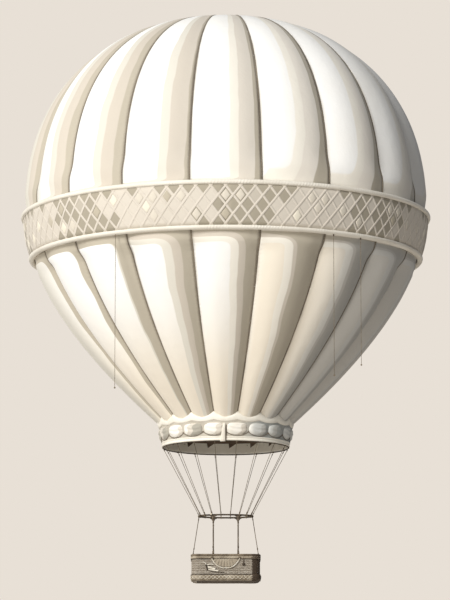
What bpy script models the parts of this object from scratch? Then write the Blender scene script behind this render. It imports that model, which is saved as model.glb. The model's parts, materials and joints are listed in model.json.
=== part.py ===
# Hot air balloon with a gored envelope, a patterned belt, a skirt, a load ring and a wicker basket
#
# All sizes are in metres. The origin is on the balloon's axis, in the plane of the widest ring,
# +Z points up and the side that the picture shows faces -Y. An azimuth of 0 is that side.

import math

import bmesh
import bpy
from mathutils import Matrix, Vector

# Envelope: radius and height of the dome, and the line of the lower part down to the skirt
GORE_COUNT = 18
GORE_COLUMNS = 4
ENVELOPE_RADIUS = 7.5
DOME_HEIGHT = 7.43
DOME_POWER = 2.25
CONE_END_RADIUS = 2.40
CONE_END_Z = -7.80
CONE_SHOULDER = 2.73
CONE_PULL_OUT = 2.36
CONE_PULL_UP = 2.14
SKIN = 0.010
VENT_OPENING_RADIUS = 1.50
VENT_SEAT_WIDTH = 0.15
CROWN_PLATE_RADIUS = 0.22
CROWN_TAPE_WIDTH = 0.050
CROWN_TAPE_INSET = 0.0020
DOME_ROWS = 9
CONE_ROWS = 10

# How far a seam lies inside the crest of its gores, as a share of the crest's radius
LOBE_ENDS = 0.0075
LOBE_DOME = 0.036
LOBE_CONE = 0.080
LOBE_BELT = 0.012
LOBE_RISE = 0.22
LOBE_FADE = 0.18
BELT_STATIONS = (1.0, 1.207)

# Belt with a roll along each edge
BELT_TOP_Z = -0.17
BELT_BOTTOM_Z = -1.57
BELT_THICKNESS = 0.020
ROLL_DEPTH = 0.10
UPPER_ROLL_TOP_Z = 0.0
LOWER_ROLL_BOTTOM_Z = -1.72

# Skirt and the hoop in its lower hem
SKIRT_EDGE_Z = -7.74
SKIRT_POINT_RISE = 0.20
SKIRT_POINT_FLARE = 0.02
SKIRT_EDGE_CLEAR = 0.0020
SKIRT_BOTTOM_Z = -8.575
SKIRT_BOTTOM_RADIUS = 2.313
HOOP_SIZE = 0.040

# Suspension, load ring and uprights
LINE_DIAMETER = 0.022
RING_Z = -11.11
RING_HALF_X = 0.98
RING_HALF_Y = 0.62
RING_TUBE = 0.060
STOUT_UPRIGHT = 0.050
SLIM_UPRIGHT = 0.028
STOUT_UPRIGHT_X = 0.455
SLIM_UPRIGHT_FOOT_X = 1.20

# Basket: outer half width and half depth of the wicker wall
BASKET_HALF_X = 1.255
BASKET_HALF_Y = 0.82
BASKET_CORNER = 0.30
BASKET_WALL = 0.040
BASKET_TOP_Z = -12.55
BASKET_BOTTOM_Z = -13.52
BASKET_BASE_ROUND = 0.15
BASKET_LIP = 0.05
FLOOR_THICKNESS = 0.040
RIM_ROLL = 0.085
RIM_BAND_HEIGHT = 0.085
RIM_BAND_THICKNESS = 0.018
LOWER_BAND_TOP_Z = -13.305
LOWER_BAND_THICKNESS = 0.014

# Rope swag on the front of the basket
SWAG_HALF_SPAN = 0.50
SWAG_SAG = 0.36
SWAG_DIAMETER = 0.036
TAB_SIZE = 0.060
TAB_ROOT = 0.020

# Free lines under the belt: azimuth in degrees and height of the knot
DROP_LINES = (("left", -32.6, -7.13), ("right", 31.8, -6.70), ("far_right", 41.5, -6.23))
DROP_DIAMETER = 0.020
KNOT_RADIUS = 0.032
KNOT_HEIGHT = 0.060

# Clearance between pieces that touch on the real object
GAP = 0.0003

RING_SEGMENTS = GORE_COUNT * GORE_COLUMNS
COLLECTION = "hot_air_balloon"


# Scene and material helpers

def clear_scene():
    for item in list(bpy.data.objects):
        bpy.data.objects.remove(item, do_unlink=True)


def make_collection(name):
    collection = bpy.data.collections.new(name)
    bpy.context.scene.collection.children.link(collection)
    return collection


def make_material(name, colour, roughness, metallic=0.0):
    material = bpy.data.materials.new(name)
    material.use_nodes = True
    shader = material.node_tree.nodes["Principled BSDF"]
    shader.inputs["Base Color"].default_value = (*colour, 1.0)
    shader.inputs["Roughness"].default_value = roughness
    shader.inputs["Metallic"].default_value = metallic
    return material


def add_object(name, mesh, material, collection):
    item = bpy.data.objects.new(name, mesh)
    item.data.materials.append(material)
    collection.objects.link(item)
    return item


def mesh_from_bmesh(name, bm):
    bmesh.ops.recalc_face_normals(bm, faces=bm.faces)
    mesh = bpy.data.meshes.new(name)
    bm.to_mesh(mesh)
    bm.free()
    mesh.shade_smooth()
    mesh.set_sharp_from_angle(angle=math.radians(40))
    return mesh


def join_shapes(item, name, bm, cutters):
    """Fuses the solids of a bmesh to an object that carries them."""
    shapes = add_object(name, mesh_from_bmesh(name, bm), item.data.materials[0], cutters)
    shapes.hide_render = True
    shapes.display_type = "WIRE"
    union = item.modifiers.new("joined", "BOOLEAN")
    union.operation = "UNION"
    union.object = shapes
    union.use_self = True


def solidify(item, thickness, outward=False):
    shell = item.modifiers.new("thickness", "SOLIDIFY")
    shell.thickness = thickness
    shell.offset = 1.0 if outward else -1.0
    shell.use_even_offset = True
    return shell


# Shape helpers

def polar(radius, azimuth, z):
    """A point at an azimuth counted from the front, towards +X."""
    return Vector((radius * math.sin(azimuth), -radius * math.cos(azimuth), z))


def grid_mesh(name, rows, closed):
    """An open surface through rows of points; a closed row joins its last point to its first."""
    bm = bmesh.new()
    verts = [[bm.verts.new(point) for point in row] for row in rows]
    columns = len(rows[0])
    for upper, lower in zip(verts, verts[1:]):
        for i in range(columns if closed else columns - 1):
            j = (i + 1) % columns
            bm.faces.new((upper[i], lower[i], lower[j], upper[j]))
    mesh = bpy.data.meshes.new(name)
    bm.to_mesh(mesh)
    bm.free()
    mesh.shade_smooth()
    mesh.set_sharp_from_angle(angle=math.radians(40))
    return mesh


def closed_loft(name, loops):
    """A ring-shaped solid: each loop joins the next, and the last one joins the first."""
    bm = bmesh.new()
    verts = [[bm.verts.new(point) for point in loop] for loop in loops]
    columns = len(loops[0])
    for upper, lower in zip(verts, verts[1:] + verts[:1]):
        for i in range(columns):
            j = (i + 1) % columns
            bm.faces.new((upper[i], lower[i], lower[j], upper[j]))
    return mesh_from_bmesh(name, bm)


def chamfered_section(width, height, cut):
    """An eight-sided section with flat sides, as (outward, upward) offsets from its middle."""
    w, h = width / 2, height / 2
    return [(w, h - cut), (w, cut - h), (w - cut, -h), (cut - w, -h),
            (-w, cut - h), (-w, h - cut), (cut - w, h), (w - cut, h)]


def ring_solid(name, radius, z, section, segments, slope=0.0):
    """A ring around the axis; slope is how far it moves outward for each metre upward."""
    loops = []
    for out, up in section:
        loops.append([polar(radius + out + slope * up, math.tau * i / segments, z + up)
                      for i in range(segments)])
    return closed_loft(name, loops)


def sheared_rod(bm, top, bottom, diameter, sides=8):
    """A rod between two points, cut level at both ends."""
    made = bmesh.ops.create_cone(bm, cap_ends=True, segments=sides, radius1=diameter / 2,
                                 radius2=diameter / 2, depth=top.z - bottom.z)
    middle = (top + bottom) / 2
    lean = (top - bottom) / (top.z - bottom.z)
    for vert in made["verts"]:
        height = vert.co.z
        vert.co = Vector((vert.co.x + middle.x + lean.x * height,
                          vert.co.y + middle.y + lean.y * height, middle.z + height))


def turned_solid(bm, profile, centre, segments=12):
    """A solid of revolution from (radius, z) points, closed by a flat cap at both ends."""
    rows = [[bm.verts.new((centre.x + r * math.cos(math.tau * i / segments),
                           centre.y + r * math.sin(math.tau * i / segments), centre.z + z))
             for i in range(segments)] for r, z in profile]
    for upper, lower in zip(rows, rows[1:]):
        for i in range(segments):
            j = (i + 1) % segments
            bm.faces.new((upper[i], lower[i], lower[j], upper[j]))
    bm.faces.new(rows[0])
    bm.faces.new(list(reversed(rows[-1])))


def box_solid(bm, centre, size, turn=0.0):
    made = bmesh.ops.create_cube(bm, size=1.0)
    place = Matrix.Translation(centre) @ Matrix.Rotation(turn, 4, "Z") @ Matrix.Diagonal((*size, 1.0))
    bmesh.ops.transform(bm, matrix=place, verts=made["verts"])


def smooth_route(points, spacing):
    """Evenly spaced points on a smooth curve through hand-set points."""
    route = []
    last = len(points) - 1
    for i in range(last):
        p0, p1 = points[max(i - 1, 0)], points[i]
        p2, p3 = points[i + 1], points[min(i + 2, last)]
        steps = max(1, round((p2 - p1).length / spacing))
        for k in range(steps):
            t = k / steps
            route.append(0.5 * (2 * p1 + (p2 - p0) * t + (2 * p0 - 5 * p1 + 4 * p2 - p3) * t * t
                                + (3 * p1 - p0 - 3 * p2 + p3) * t * t * t))
    route.append(points[-1])
    return route


def rope_object(name, points, diameter, material, collection):
    curve = bpy.data.curves.new(name, "CURVE")
    curve.dimensions = "3D"
    curve.bevel_depth = diameter / 2
    curve.bevel_resolution = 2
    curve.use_fill_caps = True
    spline = curve.splines.new("POLY")
    spline.points.add(len(points) - 1)
    for target, point in zip(spline.points, points):
        target.co = (*point, 1.0)
    item = bpy.data.objects.new(name, curve)
    item.data.materials.append(material)
    collection.objects.link(item)
    return item


# Envelope line: stations run from 0 at the crown through 1 at the widest ring to 2 at the skirt

def crest_point(station):
    """Radius and height of the crest of a gore."""
    if station <= 1.0:
        angle = (1.0 - station) * math.pi / 2
        power = 2.0 / DOME_POWER
        return (ENVELOPE_RADIUS * math.cos(angle) ** power if station > 0 else 0.0,
                DOME_HEIGHT * math.sin(angle) ** power if station < 1 else 0.0)
    u = station - 1.0
    weights = ((1 - u) ** 3, 3 * u * (1 - u) ** 2, 3 * u * u * (1 - u), u ** 3)
    radii = (ENVELOPE_RADIUS, ENVELOPE_RADIUS, CONE_END_RADIUS + CONE_PULL_OUT, CONE_END_RADIUS)
    heights = (0.0, -CONE_SHOULDER, CONE_END_Z + CONE_PULL_UP, CONE_END_Z)
    return (sum(w * r for w, r in zip(weights, radii)), sum(w * h for w, h in zip(weights, heights)))


def station_at_radius(radius):
    """Station on the dome where the crest has this radius."""
    angle = math.acos((radius / ENVELOPE_RADIUS) ** (DOME_POWER / 2))
    return 1.0 - angle / (math.pi / 2)


OPENING_STATION = station_at_radius(VENT_OPENING_RADIUS)
SEAT_STATION = station_at_radius(VENT_OPENING_RADIUS + VENT_SEAT_WIDTH)


def gore_stations():
    dome = [SEAT_STATION + (1.0 - SEAT_STATION) * i / DOME_ROWS for i in range(DOME_ROWS)]
    cone = [1.0 + i / CONE_ROWS for i in range(CONE_ROWS + 1)]
    return [OPENING_STATION] + dome + cone


def ease(share):
    """Runs smoothly from 0 to 1 as share does, and stays there beyond it."""
    held = min(1.0, max(0.0, share))
    return held * held * (3 - 2 * held)


def lobe_depth(station):
    """Share of the radius by which the seam lies inside the crest; the belt pulls the lobes flat."""
    full = LOBE_DOME + (LOBE_CONE - LOBE_DOME) * max(0.0, station - 1.0)
    off_belt = max(BELT_STATIONS[0] - station, station - BELT_STATIONS[1])
    full = LOBE_BELT + (full - LOBE_BELT) * ease(off_belt / LOBE_FADE)
    return LOBE_ENDS + (full - LOBE_ENDS) * ease((station - SEAT_STATION) / LOBE_RISE)


def lobe_radius(crest, depth, local):
    """Radius of a gore's arc at an angle from its middle; the arc runs seam, crest, seam."""
    half = math.pi / GORE_COUNT
    seam = crest * (1 - depth)
    half_chord = seam * math.sin(half)
    bulge = crest - seam * math.cos(half)
    arc = (half_chord ** 2 + bulge ** 2) / (2 * bulge)
    centre = crest - arc
    return centre * math.cos(local) + math.sqrt(arc ** 2 - (centre * math.sin(local)) ** 2)


def skin_point(station, middle, local):
    radius, z = crest_point(station)
    return polar(lobe_radius(radius, lobe_depth(station), local), middle + local, z)


def crest_radius_at(z):
    """Radius of the crest line at a height, on the straight runs between the gore's rows."""
    points = [crest_point(station) for station in gore_stations()]
    for (r0, z0), (r1, z1) in zip(points, points[1:]):
        if z1 <= z <= z0:
            return r0 + (r1 - r0) * (z0 - z) / (z0 - z1)
    raise ValueError("height outside the gores")


def crest_seat(top, bottom):
    """Radius at mid height, and slope, of a straight back that lies on the crests over this stretch."""
    upper, lower = crest_radius_at(top), crest_radius_at(bottom)
    slope = (upper - lower) / (top - bottom)
    bulge = 0.0
    for station in gore_stations():
        radius, z = crest_point(station)
        if bottom < z < top:
            bulge = max(bulge, radius - lower - slope * (z - bottom))
    return (upper + lower) / 2 + bulge, slope


# Envelope pieces

def make_gores(material, collection):
    half = math.pi / GORE_COUNT
    for number in range(GORE_COUNT):
        middle = math.tau * number / GORE_COUNT
        rows = []
        for station in gore_stations():
            edge = half - GAP / 2 / crest_point(station)[0]
            angles = [edge * (2 * i / GORE_COLUMNS - 1) for i in range(GORE_COLUMNS + 1)]
            rows.append([skin_point(station, middle, local) for local in angles])
        name = f"gore_{number + 1:02d}"
        gore = add_object(name, grid_mesh(name, rows, closed=False), material, collection)
        solidify(gore, SKIN)


def crown_surface_point(station, azimuth, lift):
    """A point over the crown skin, lifted along the meridian's normal."""
    half = math.pi / GORE_COUNT
    local = (azimuth + half) % (2 * half) - half
    point = skin_point(station, azimuth - local, local)
    step = 0.001
    r0, z0 = crest_point(station - step)
    r1, z1 = crest_point(station + step)
    length = math.hypot(r1 - r0, z1 - z0)
    out = (z0 - z1) / length
    up = (r1 - r0) / length
    radius = math.hypot(point.x, point.y)
    return polar(radius + out * lift, azimuth, point.z + up * lift)


def make_crown_vent(material, collection):
    """The parachute panel: a cap that closes the crown opening from inside."""
    bm = bmesh.new()
    lift = -(SKIN + 2 * GAP)
    inner_rows = 3
    stations = [SEAT_STATION] + [OPENING_STATION * k / inner_rows for k in range(inner_rows, 0, -1)]
    rows = [[bm.verts.new(crown_surface_point(station, math.tau * i / RING_SEGMENTS, lift))
             for i in range(RING_SEGMENTS)] for station in stations]
    for outer, inner in zip(rows, rows[1:]):
        for i in range(RING_SEGMENTS):
            j = (i + 1) % RING_SEGMENTS
            bm.faces.new((outer[i], outer[j], inner[j], inner[i]))
    apex = bm.verts.new((0.0, 0.0, DOME_HEIGHT + lift))
    for i in range(RING_SEGMENTS):
        bm.faces.new((rows[-1][i], rows[-1][(i + 1) % RING_SEGMENTS], apex))
    vent = add_object("crown_vent_panel", mesh_from_bmesh("crown_vent_panel", bm), material, collection)
    solidify(vent, SKIN)


def make_crown_ring(material, collection, cutters):
    """The hem of the crown opening with a tape on each seam up to a small plate at the top."""
    tape_steps = 4
    lift = 3 * GAP
    loops = []
    for station, rise in ((SEAT_STATION, 0.0), (OPENING_STATION, 0.0),
                          (OPENING_STATION, SKIN), (SEAT_STATION, SKIN)):
        loops.append([crown_surface_point(station, math.tau * i / RING_SEGMENTS, lift + rise)
                      for i in range(RING_SEGMENTS)])
    ring = add_object("crown_ring", closed_loft("crown_ring", loops), material, collection)

    tapes = bmesh.new()
    inner_radius = CROWN_PLATE_RADIUS * 0.8
    outer_radius = VENT_OPENING_RADIUS + VENT_SEAT_WIDTH / 2
    for number in range(GORE_COUNT):
        azimuth = math.tau * (number + 0.5) / GORE_COUNT
        side = polar(CROWN_TAPE_WIDTH / 2, azimuth + math.pi / 2, 0.0)
        sections = []
        for k in range(tape_steps + 1):
            radius = inner_radius + (outer_radius - inner_radius) * k / tape_steps
            station = station_at_radius(radius)
            z = crest_point(station)[1] + lift
            low = polar(radius, azimuth, z + CROWN_TAPE_INSET)
            high = polar(radius, azimuth, z + SKIN - CROWN_TAPE_INSET)
            sections.append([tapes.verts.new(p) for p in (low - side, low + side, high + side, high - side)])
        for near, far in zip(sections, sections[1:]):
            for i in range(4):
                j = (i + 1) % 4
                tapes.faces.new((near[i], near[j], far[j], far[i]))
        tapes.faces.new(list(reversed(sections[0])))
        tapes.faces.new(sections[-1])
    plate_z = crest_point(station_at_radius(CROWN_PLATE_RADIUS))[1] + lift
    turned_solid(tapes, [(CROWN_PLATE_RADIUS, SKIN * 1.6), (CROWN_PLATE_RADIUS, 0.0)],
                 Vector((0.0, 0.0, plate_z)), segments=24)
    join_shapes(ring, "crown_tapes", tapes, cutters)


def make_belt(material, roll_material, collection, cutters):
    middle_z = crest_point(1.0 + 1.0 / CONE_ROWS)[1]
    rows = []
    for z in (BELT_TOP_Z, middle_z, BELT_BOTTOM_Z):
        radius = crest_radius_at(z) + GAP
        rows.append([polar(radius, math.tau * i / RING_SEGMENTS, z) for i in range(RING_SEGMENTS)])
    belt = add_object("belt", grid_mesh("belt", rows, closed=True), material, collection)
    solidify(belt, BELT_THICKNESS, outward=True)

    for name, top, bottom in (("belt_roll_upper", UPPER_ROLL_TOP_Z, BELT_TOP_Z + GAP),
                              ("belt_roll_lower", BELT_BOTTOM_Z - GAP, LOWER_ROLL_BOTTOM_Z)):
        back, slope = crest_seat(top, bottom)
        section = chamfered_section(ROLL_DEPTH, top - bottom, 0.03)
        radius = back + GAP + ROLL_DEPTH / 2
        mesh = ring_solid(name, radius, (top + bottom) / 2, section, RING_SEGMENTS, slope)
        roll = add_object(name, mesh, roll_material, collection)
    tabs = bmesh.new()
    for _, azimuth, _ in DROP_LINES:
        middle = drop_anchor(azimuth) - Vector((0.0, 0.0, TAB_SIZE / 2 - TAB_ROOT))
        box_solid(tabs, middle, (TAB_SIZE * 0.7, TAB_SIZE * 0.5, TAB_SIZE + 2 * TAB_ROOT),
                  math.radians(azimuth))
    join_shapes(roll, "drop_line_tabs", tabs, cutters)


def skirt_top_radius():
    """Outer radius of the skirt's upper edge, which just clears the crests of the gores."""
    return crest_radius_at(SKIRT_EDGE_Z) + SKIN + SKIRT_EDGE_CLEAR


def make_skirt(material, collection):
    top_radius = skirt_top_radius()
    slope = (top_radius - SKIRT_BOTTOM_RADIUS) / (SKIRT_EDGE_Z - SKIRT_BOTTOM_Z)
    rows = [[], [], [], []]
    for i in range(RING_SEGMENTS):
        azimuth = math.tau * i / RING_SEGMENTS
        at_seam = i % GORE_COLUMNS == GORE_COLUMNS // 2
        rise = SKIRT_POINT_RISE if at_seam else 0.0
        flare = SKIRT_POINT_FLARE if at_seam else 0.0
        rows[0].append(polar(top_radius + flare, azimuth, SKIRT_EDGE_Z + rise))
        for row, share in zip(rows[1:], (0.25, 0.62, 1.0)):
            z = SKIRT_EDGE_Z + (SKIRT_BOTTOM_Z - SKIRT_EDGE_Z) * share
            row.append(polar(top_radius - slope * (SKIRT_EDGE_Z - z), azimuth, z))
    skirt = add_object("skirt", grid_mesh("skirt", rows, closed=True), material, collection)
    solidify(skirt, SKIN).use_even_offset = False


# Suspension and load ring

def ring_point(azimuth, z, out=0.0):
    """A point of the oval load ring, moved outward from the middle of its bar."""
    middle = Vector((RING_HALF_X * math.sin(azimuth), -RING_HALF_Y * math.cos(azimuth), z))
    away = Vector((math.sin(azimuth) / RING_HALF_X, -math.cos(azimuth) / RING_HALF_Y, 0.0))
    return middle + away.normalized() * out


def make_suspension(rope_material, ring_material, collection, cutters):
    """The hoop in the mouth with a line from each seam, and the load ring that they hold."""
    section = chamfered_section(HOOP_SIZE, HOOP_SIZE, 0.010)
    hoop_z = SKIRT_BOTTOM_Z - GAP - HOOP_SIZE / 2
    hoop_radius = SKIRT_BOTTOM_RADIUS - SKIN / 2
    hoop_mesh = ring_solid("suspension_lines", hoop_radius, hoop_z, section, RING_SEGMENTS)
    hoop = add_object("suspension_lines", hoop_mesh, rope_material, collection)

    bm = bmesh.new()
    bottom_z = RING_Z + RING_TUBE / 2 + GAP
    for number in range(GORE_COUNT):
        azimuth = math.tau * (number + 0.5) / GORE_COUNT
        sheared_rod(bm, polar(hoop_radius, azimuth, hoop_z), ring_point(azimuth, bottom_z), LINE_DIAMETER)
    join_shapes(hoop, "line_rods", bm, cutters)

    segments = 2 * GORE_COUNT
    section = chamfered_section(RING_TUBE, RING_TUBE, RING_TUBE * 0.29)
    loops = [[ring_point(math.tau * i / segments, RING_Z + up, out) for i in range(segments)]
             for out, up in section]
    add_object("load_ring", closed_loft("load_ring", loops), ring_material, collection)


def make_uprights(material, collection):
    top_z = RING_Z - RING_TUBE / 2 - GAP
    foot_z = BASKET_TOP_Z + GAP
    foot_y = BASKET_HALF_Y - BASKET_WALL / 2
    ring_y = RING_HALF_Y * math.sqrt(1 - (STOUT_UPRIGHT_X / RING_HALF_X) ** 2)
    slim_foot_x = min(SLIM_UPRIGHT_FOOT_X, BASKET_HALF_X - BASKET_WALL / 2)
    places = (("front_left", -STOUT_UPRIGHT_X, -ring_y, -STOUT_UPRIGHT_X, -foot_y, STOUT_UPRIGHT),
              ("front_right", STOUT_UPRIGHT_X, -ring_y, STOUT_UPRIGHT_X, -foot_y, STOUT_UPRIGHT),
              ("rear_left", -STOUT_UPRIGHT_X, ring_y, -STOUT_UPRIGHT_X, foot_y, STOUT_UPRIGHT),
              ("rear_right", STOUT_UPRIGHT_X, ring_y, STOUT_UPRIGHT_X, foot_y, STOUT_UPRIGHT),
              ("end_left", -RING_HALF_X, 0.0, -slim_foot_x, 0.0, SLIM_UPRIGHT),
              ("end_right", RING_HALF_X, 0.0, slim_foot_x, 0.0, SLIM_UPRIGHT))
    for place, top_x, top_y, foot_x, foot_y_here, diameter in places:
        name = f"upright_{place}"
        bm = bmesh.new()
        sheared_rod(bm, Vector((top_x, top_y, top_z)), Vector((foot_x, foot_y_here, foot_z)), diameter, 10)
        add_object(name, mesh_from_bmesh(name, bm), material, collection)


# Basket

def basket_loop(inset, z, corner_steps=4):
    """A rounded rectangle inside the basket's outer outline."""
    half_x, half_y = BASKET_HALF_X - inset, BASKET_HALF_Y - inset
    radius = BASKET_CORNER - inset
    loop = []
    for quarter, (sx, sy) in enumerate(((1, 1), (-1, 1), (-1, -1), (1, -1))):
        centre_x, centre_y = sx * (half_x - radius), sy * (half_y - radius)
        for k in range(corner_steps + 1):
            angle = math.pi / 2 * (quarter + k / corner_steps)
            loop.append(Vector((centre_x + radius * math.cos(angle), centre_y + radius * math.sin(angle), z)))
        if quarter % 2 == 0:
            loop.append(Vector((0.0, sy * half_y, z)))
    return loop


def wall_profile(arc_steps=3):
    """Inset and height down the wall: the plain wall, the round at the base and the flat lip."""
    round_top = BASKET_BOTTOM_Z + BASKET_BASE_ROUND
    profile = [(0.0, BASKET_TOP_Z - RIM_ROLL - GAP), (0.0, LOWER_BAND_TOP_Z), (0.0, round_top)]
    for k in range(1, arc_steps + 1):
        angle = math.pi / 2 * k / arc_steps
        profile.append((BASKET_BASE_ROUND * (1 - math.cos(angle)),
                        round_top - BASKET_BASE_ROUND * math.sin(angle)))
    profile.append((BASKET_BASE_ROUND + BASKET_LIP, BASKET_BOTTOM_Z))
    return profile


def make_basket(wicker, leather, wood, collection, cutters):
    profile = wall_profile()
    wall_mesh = grid_mesh("basket_walls", [basket_loop(inset, z) for inset, z in profile], closed=True)
    walls = add_object("basket_walls", wall_mesh, wicker, collection)
    solidify(walls, BASKET_WALL)

    inset = BASKET_BASE_ROUND + BASKET_LIP + GAP
    bm = bmesh.new()
    bottom = [bm.verts.new(p) for p in basket_loop(inset, BASKET_BOTTOM_Z)]
    bm.faces.new(bottom)
    raised = bmesh.ops.extrude_face_region(bm, geom=list(bm.faces))
    top = [item for item in raised["geom"] if isinstance(item, bmesh.types.BMVert)]
    bmesh.ops.translate(bm, verts=top, vec=(0.0, 0.0, FLOOR_THICKNESS))
    add_object("basket_floor", mesh_from_bmesh("basket_floor", bm), wood, collection)

    section = chamfered_section(RIM_ROLL, RIM_ROLL, RIM_ROLL * 0.27)
    middle_z = BASKET_TOP_Z - RIM_ROLL / 2
    loops = [basket_loop(BASKET_WALL / 2 - out, middle_z + up) for out, up in section]
    add_object("basket_rim", closed_loft("basket_rim", loops), leather, collection)

    band_top = BASKET_TOP_Z - RIM_ROLL - GAP
    rows = [basket_loop(-GAP, z) for z in (band_top, band_top - RIM_BAND_HEIGHT)]
    band = add_object("basket_rim_band", grid_mesh("basket_rim_band", rows, True), leather, collection)
    solidify(band, RIM_BAND_THICKNESS, outward=True)
    tabs = bmesh.new()
    for side in (-1, 1):
        middle = Vector((side * SWAG_HALF_SPAN, swag_plane_y(), tab_bottom_z() + TAB_SIZE / 2))
        box_solid(tabs, middle, (1.6 * TAB_SIZE, TAB_SIZE, TAB_SIZE))
    join_shapes(band, "swag_tabs", tabs, cutters)

    clear = 2 * GAP
    rows = [basket_loop(profile[1][0] - clear, profile[1][1]),
            basket_loop(profile[2][0] - clear, profile[2][1]),
            basket_loop(profile[3][0] - clear, profile[3][1] - clear / 2),
            basket_loop(profile[4][0] - clear, profile[4][1] - clear)]
    band = add_object("basket_lower_band", grid_mesh("basket_lower_band", rows, True), leather, collection)
    solidify(band, LOWER_BAND_THICKNESS, outward=True)


def swag_plane_y():
    """The rope hangs in this plane, in front of the rim band."""
    return -(BASKET_HALF_Y + (RIM_BAND_THICKNESS + TAB_SIZE) / 2)


def tab_bottom_z():
    band_top = BASKET_TOP_Z - RIM_ROLL - GAP
    return band_top - RIM_BAND_HEIGHT / 2 - TAB_SIZE / 2


def swag_route():
    """From one tab straight down, along the sag and up to the other tab."""
    top = tab_bottom_z() - GAP
    half = ((-1.0, 0.0), (-1.0, 0.10), (-0.86, 0.42), (-0.58, 0.80), (-0.28, 0.965), (0.0, 1.0))
    whole = half + tuple((-share, drop) for share, drop in reversed(half[:-1]))
    return [Vector((share * SWAG_HALF_SPAN, swag_plane_y(), top - drop * SWAG_SAG)) for share, drop in whole]


def make_swag(rope_material, collection):
    rope_object("swag_rope", smooth_route(swag_route(), 2.2 * SWAG_DIAMETER), SWAG_DIAMETER,
                rope_material, collection)


# Free lines under the belt

def drop_anchor(azimuth):
    """Middle of the lower roll's underside at an azimuth in degrees."""
    segment = math.tau / RING_SEGMENTS
    angle = math.radians(azimuth)
    radius, slope = crest_seat(BELT_BOTTOM_Z - GAP, LOWER_ROLL_BOTTOM_Z)
    radius += GAP + ROLL_DEPTH / 2 + slope * (LOWER_ROLL_BOTTOM_Z - BELT_BOTTOM_Z) / 2
    off_corner = (angle + segment / 2) % segment - segment / 2
    radius *= math.cos(segment / 2) / math.cos(segment / 2 - abs(off_corner))
    return polar(radius, angle, LOWER_ROLL_BOTTOM_Z)


def make_drop_lines(rope_material, collection):
    points_per_line = 24
    for name, azimuth, knot_z in DROP_LINES:
        anchor = drop_anchor(azimuth)
        top = anchor.z - TAB_SIZE - GAP
        route = [Vector((anchor.x, anchor.y, top + (knot_z - top) * k / (points_per_line - 1)))
                 for k in range(points_per_line)]
        rope_object(f"drop_line_{name}", route, DROP_DIAMETER, rope_material, collection)
        knot = bmesh.new()
        profile = [(DROP_DIAMETER * 0.6, 0.0), (KNOT_RADIUS, -0.3 * KNOT_HEIGHT),
                   (KNOT_RADIUS, -0.7 * KNOT_HEIGHT), (DROP_DIAMETER * 0.6, -KNOT_HEIGHT)]
        turned_solid(knot, profile, Vector((anchor.x, anchor.y, knot_z - GAP)))
        knot_name = f"drop_knot_{name}"
        add_object(knot_name, mesh_from_bmesh(knot_name, knot), rope_material, collection)


def main():
    clear_scene()
    parts = make_collection(COLLECTION)
    joined = make_collection("joined_shapes")
    envelope = make_material("envelope_cloth", (0.90, 0.87, 0.79), 0.75)
    lattice = make_material("belt_cloth", (0.72, 0.68, 0.60), 0.80)
    trim = make_material("trim_cloth", (0.93, 0.89, 0.81), 0.70)
    rope = make_material("rope", (0.42, 0.36, 0.29), 0.85)
    pale_rope = make_material("pale_rope", (0.85, 0.81, 0.72), 0.80)
    ring = make_material("bound_ring", (0.20, 0.16, 0.12), 0.60)
    post = make_material("upright_wood", (0.30, 0.25, 0.19), 0.60)
    wicker = make_material("wicker", (0.36, 0.29, 0.21), 0.75)
    leather = make_material("leather", (0.26, 0.20, 0.15), 0.55)
    wood = make_material("floor_wood", (0.40, 0.31, 0.22), 0.65)

    make_gores(envelope, parts)
    make_crown_vent(envelope, parts)
    make_crown_ring(trim, parts, joined)
    make_belt(lattice, trim, parts, joined)
    make_skirt(trim, parts)
    make_suspension(rope, ring, parts, joined)
    make_uprights(post, parts)
    make_basket(wicker, leather, wood, parts, joined)
    make_swag(pale_rope, parts)
    make_drop_lines(rope, parts)


main()
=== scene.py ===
# %% [markdown]
# A hot air balloon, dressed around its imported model. The real thing is cloth, rope, wood and willow:
# eighteen gores sewn into an envelope, a belt with a lattice of ribbons, a short skirt with padded
# swags, lines to a load ring, and a basket on six uprights. Each lesson below first says what
# a piece is on the real balloon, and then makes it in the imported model's own frame, in metres.

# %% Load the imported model
import json
import math

import bmesh
import bpy
from mathutils import Matrix, Vector

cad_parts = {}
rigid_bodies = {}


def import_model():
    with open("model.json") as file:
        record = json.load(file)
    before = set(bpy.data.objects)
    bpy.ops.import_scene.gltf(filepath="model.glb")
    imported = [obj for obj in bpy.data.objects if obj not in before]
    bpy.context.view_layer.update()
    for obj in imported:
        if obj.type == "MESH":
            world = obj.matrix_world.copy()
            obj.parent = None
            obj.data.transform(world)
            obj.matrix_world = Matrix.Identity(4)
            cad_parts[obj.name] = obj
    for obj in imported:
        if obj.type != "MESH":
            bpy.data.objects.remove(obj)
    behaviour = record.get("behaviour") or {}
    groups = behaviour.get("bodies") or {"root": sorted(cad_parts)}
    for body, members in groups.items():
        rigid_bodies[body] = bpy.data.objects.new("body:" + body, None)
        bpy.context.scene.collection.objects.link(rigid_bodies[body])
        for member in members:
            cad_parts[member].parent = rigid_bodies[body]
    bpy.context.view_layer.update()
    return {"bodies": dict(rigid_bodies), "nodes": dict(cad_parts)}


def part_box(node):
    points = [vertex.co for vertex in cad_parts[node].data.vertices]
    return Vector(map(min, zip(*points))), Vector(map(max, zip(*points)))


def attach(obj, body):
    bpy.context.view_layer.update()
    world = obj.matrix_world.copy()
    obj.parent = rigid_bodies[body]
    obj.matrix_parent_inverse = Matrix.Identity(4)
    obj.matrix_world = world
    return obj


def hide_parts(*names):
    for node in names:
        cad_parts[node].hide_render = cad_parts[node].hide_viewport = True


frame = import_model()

print("nodes in the packed model:", len(frame["nodes"]), "bodies:", sorted(frame["bodies"]))

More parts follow.
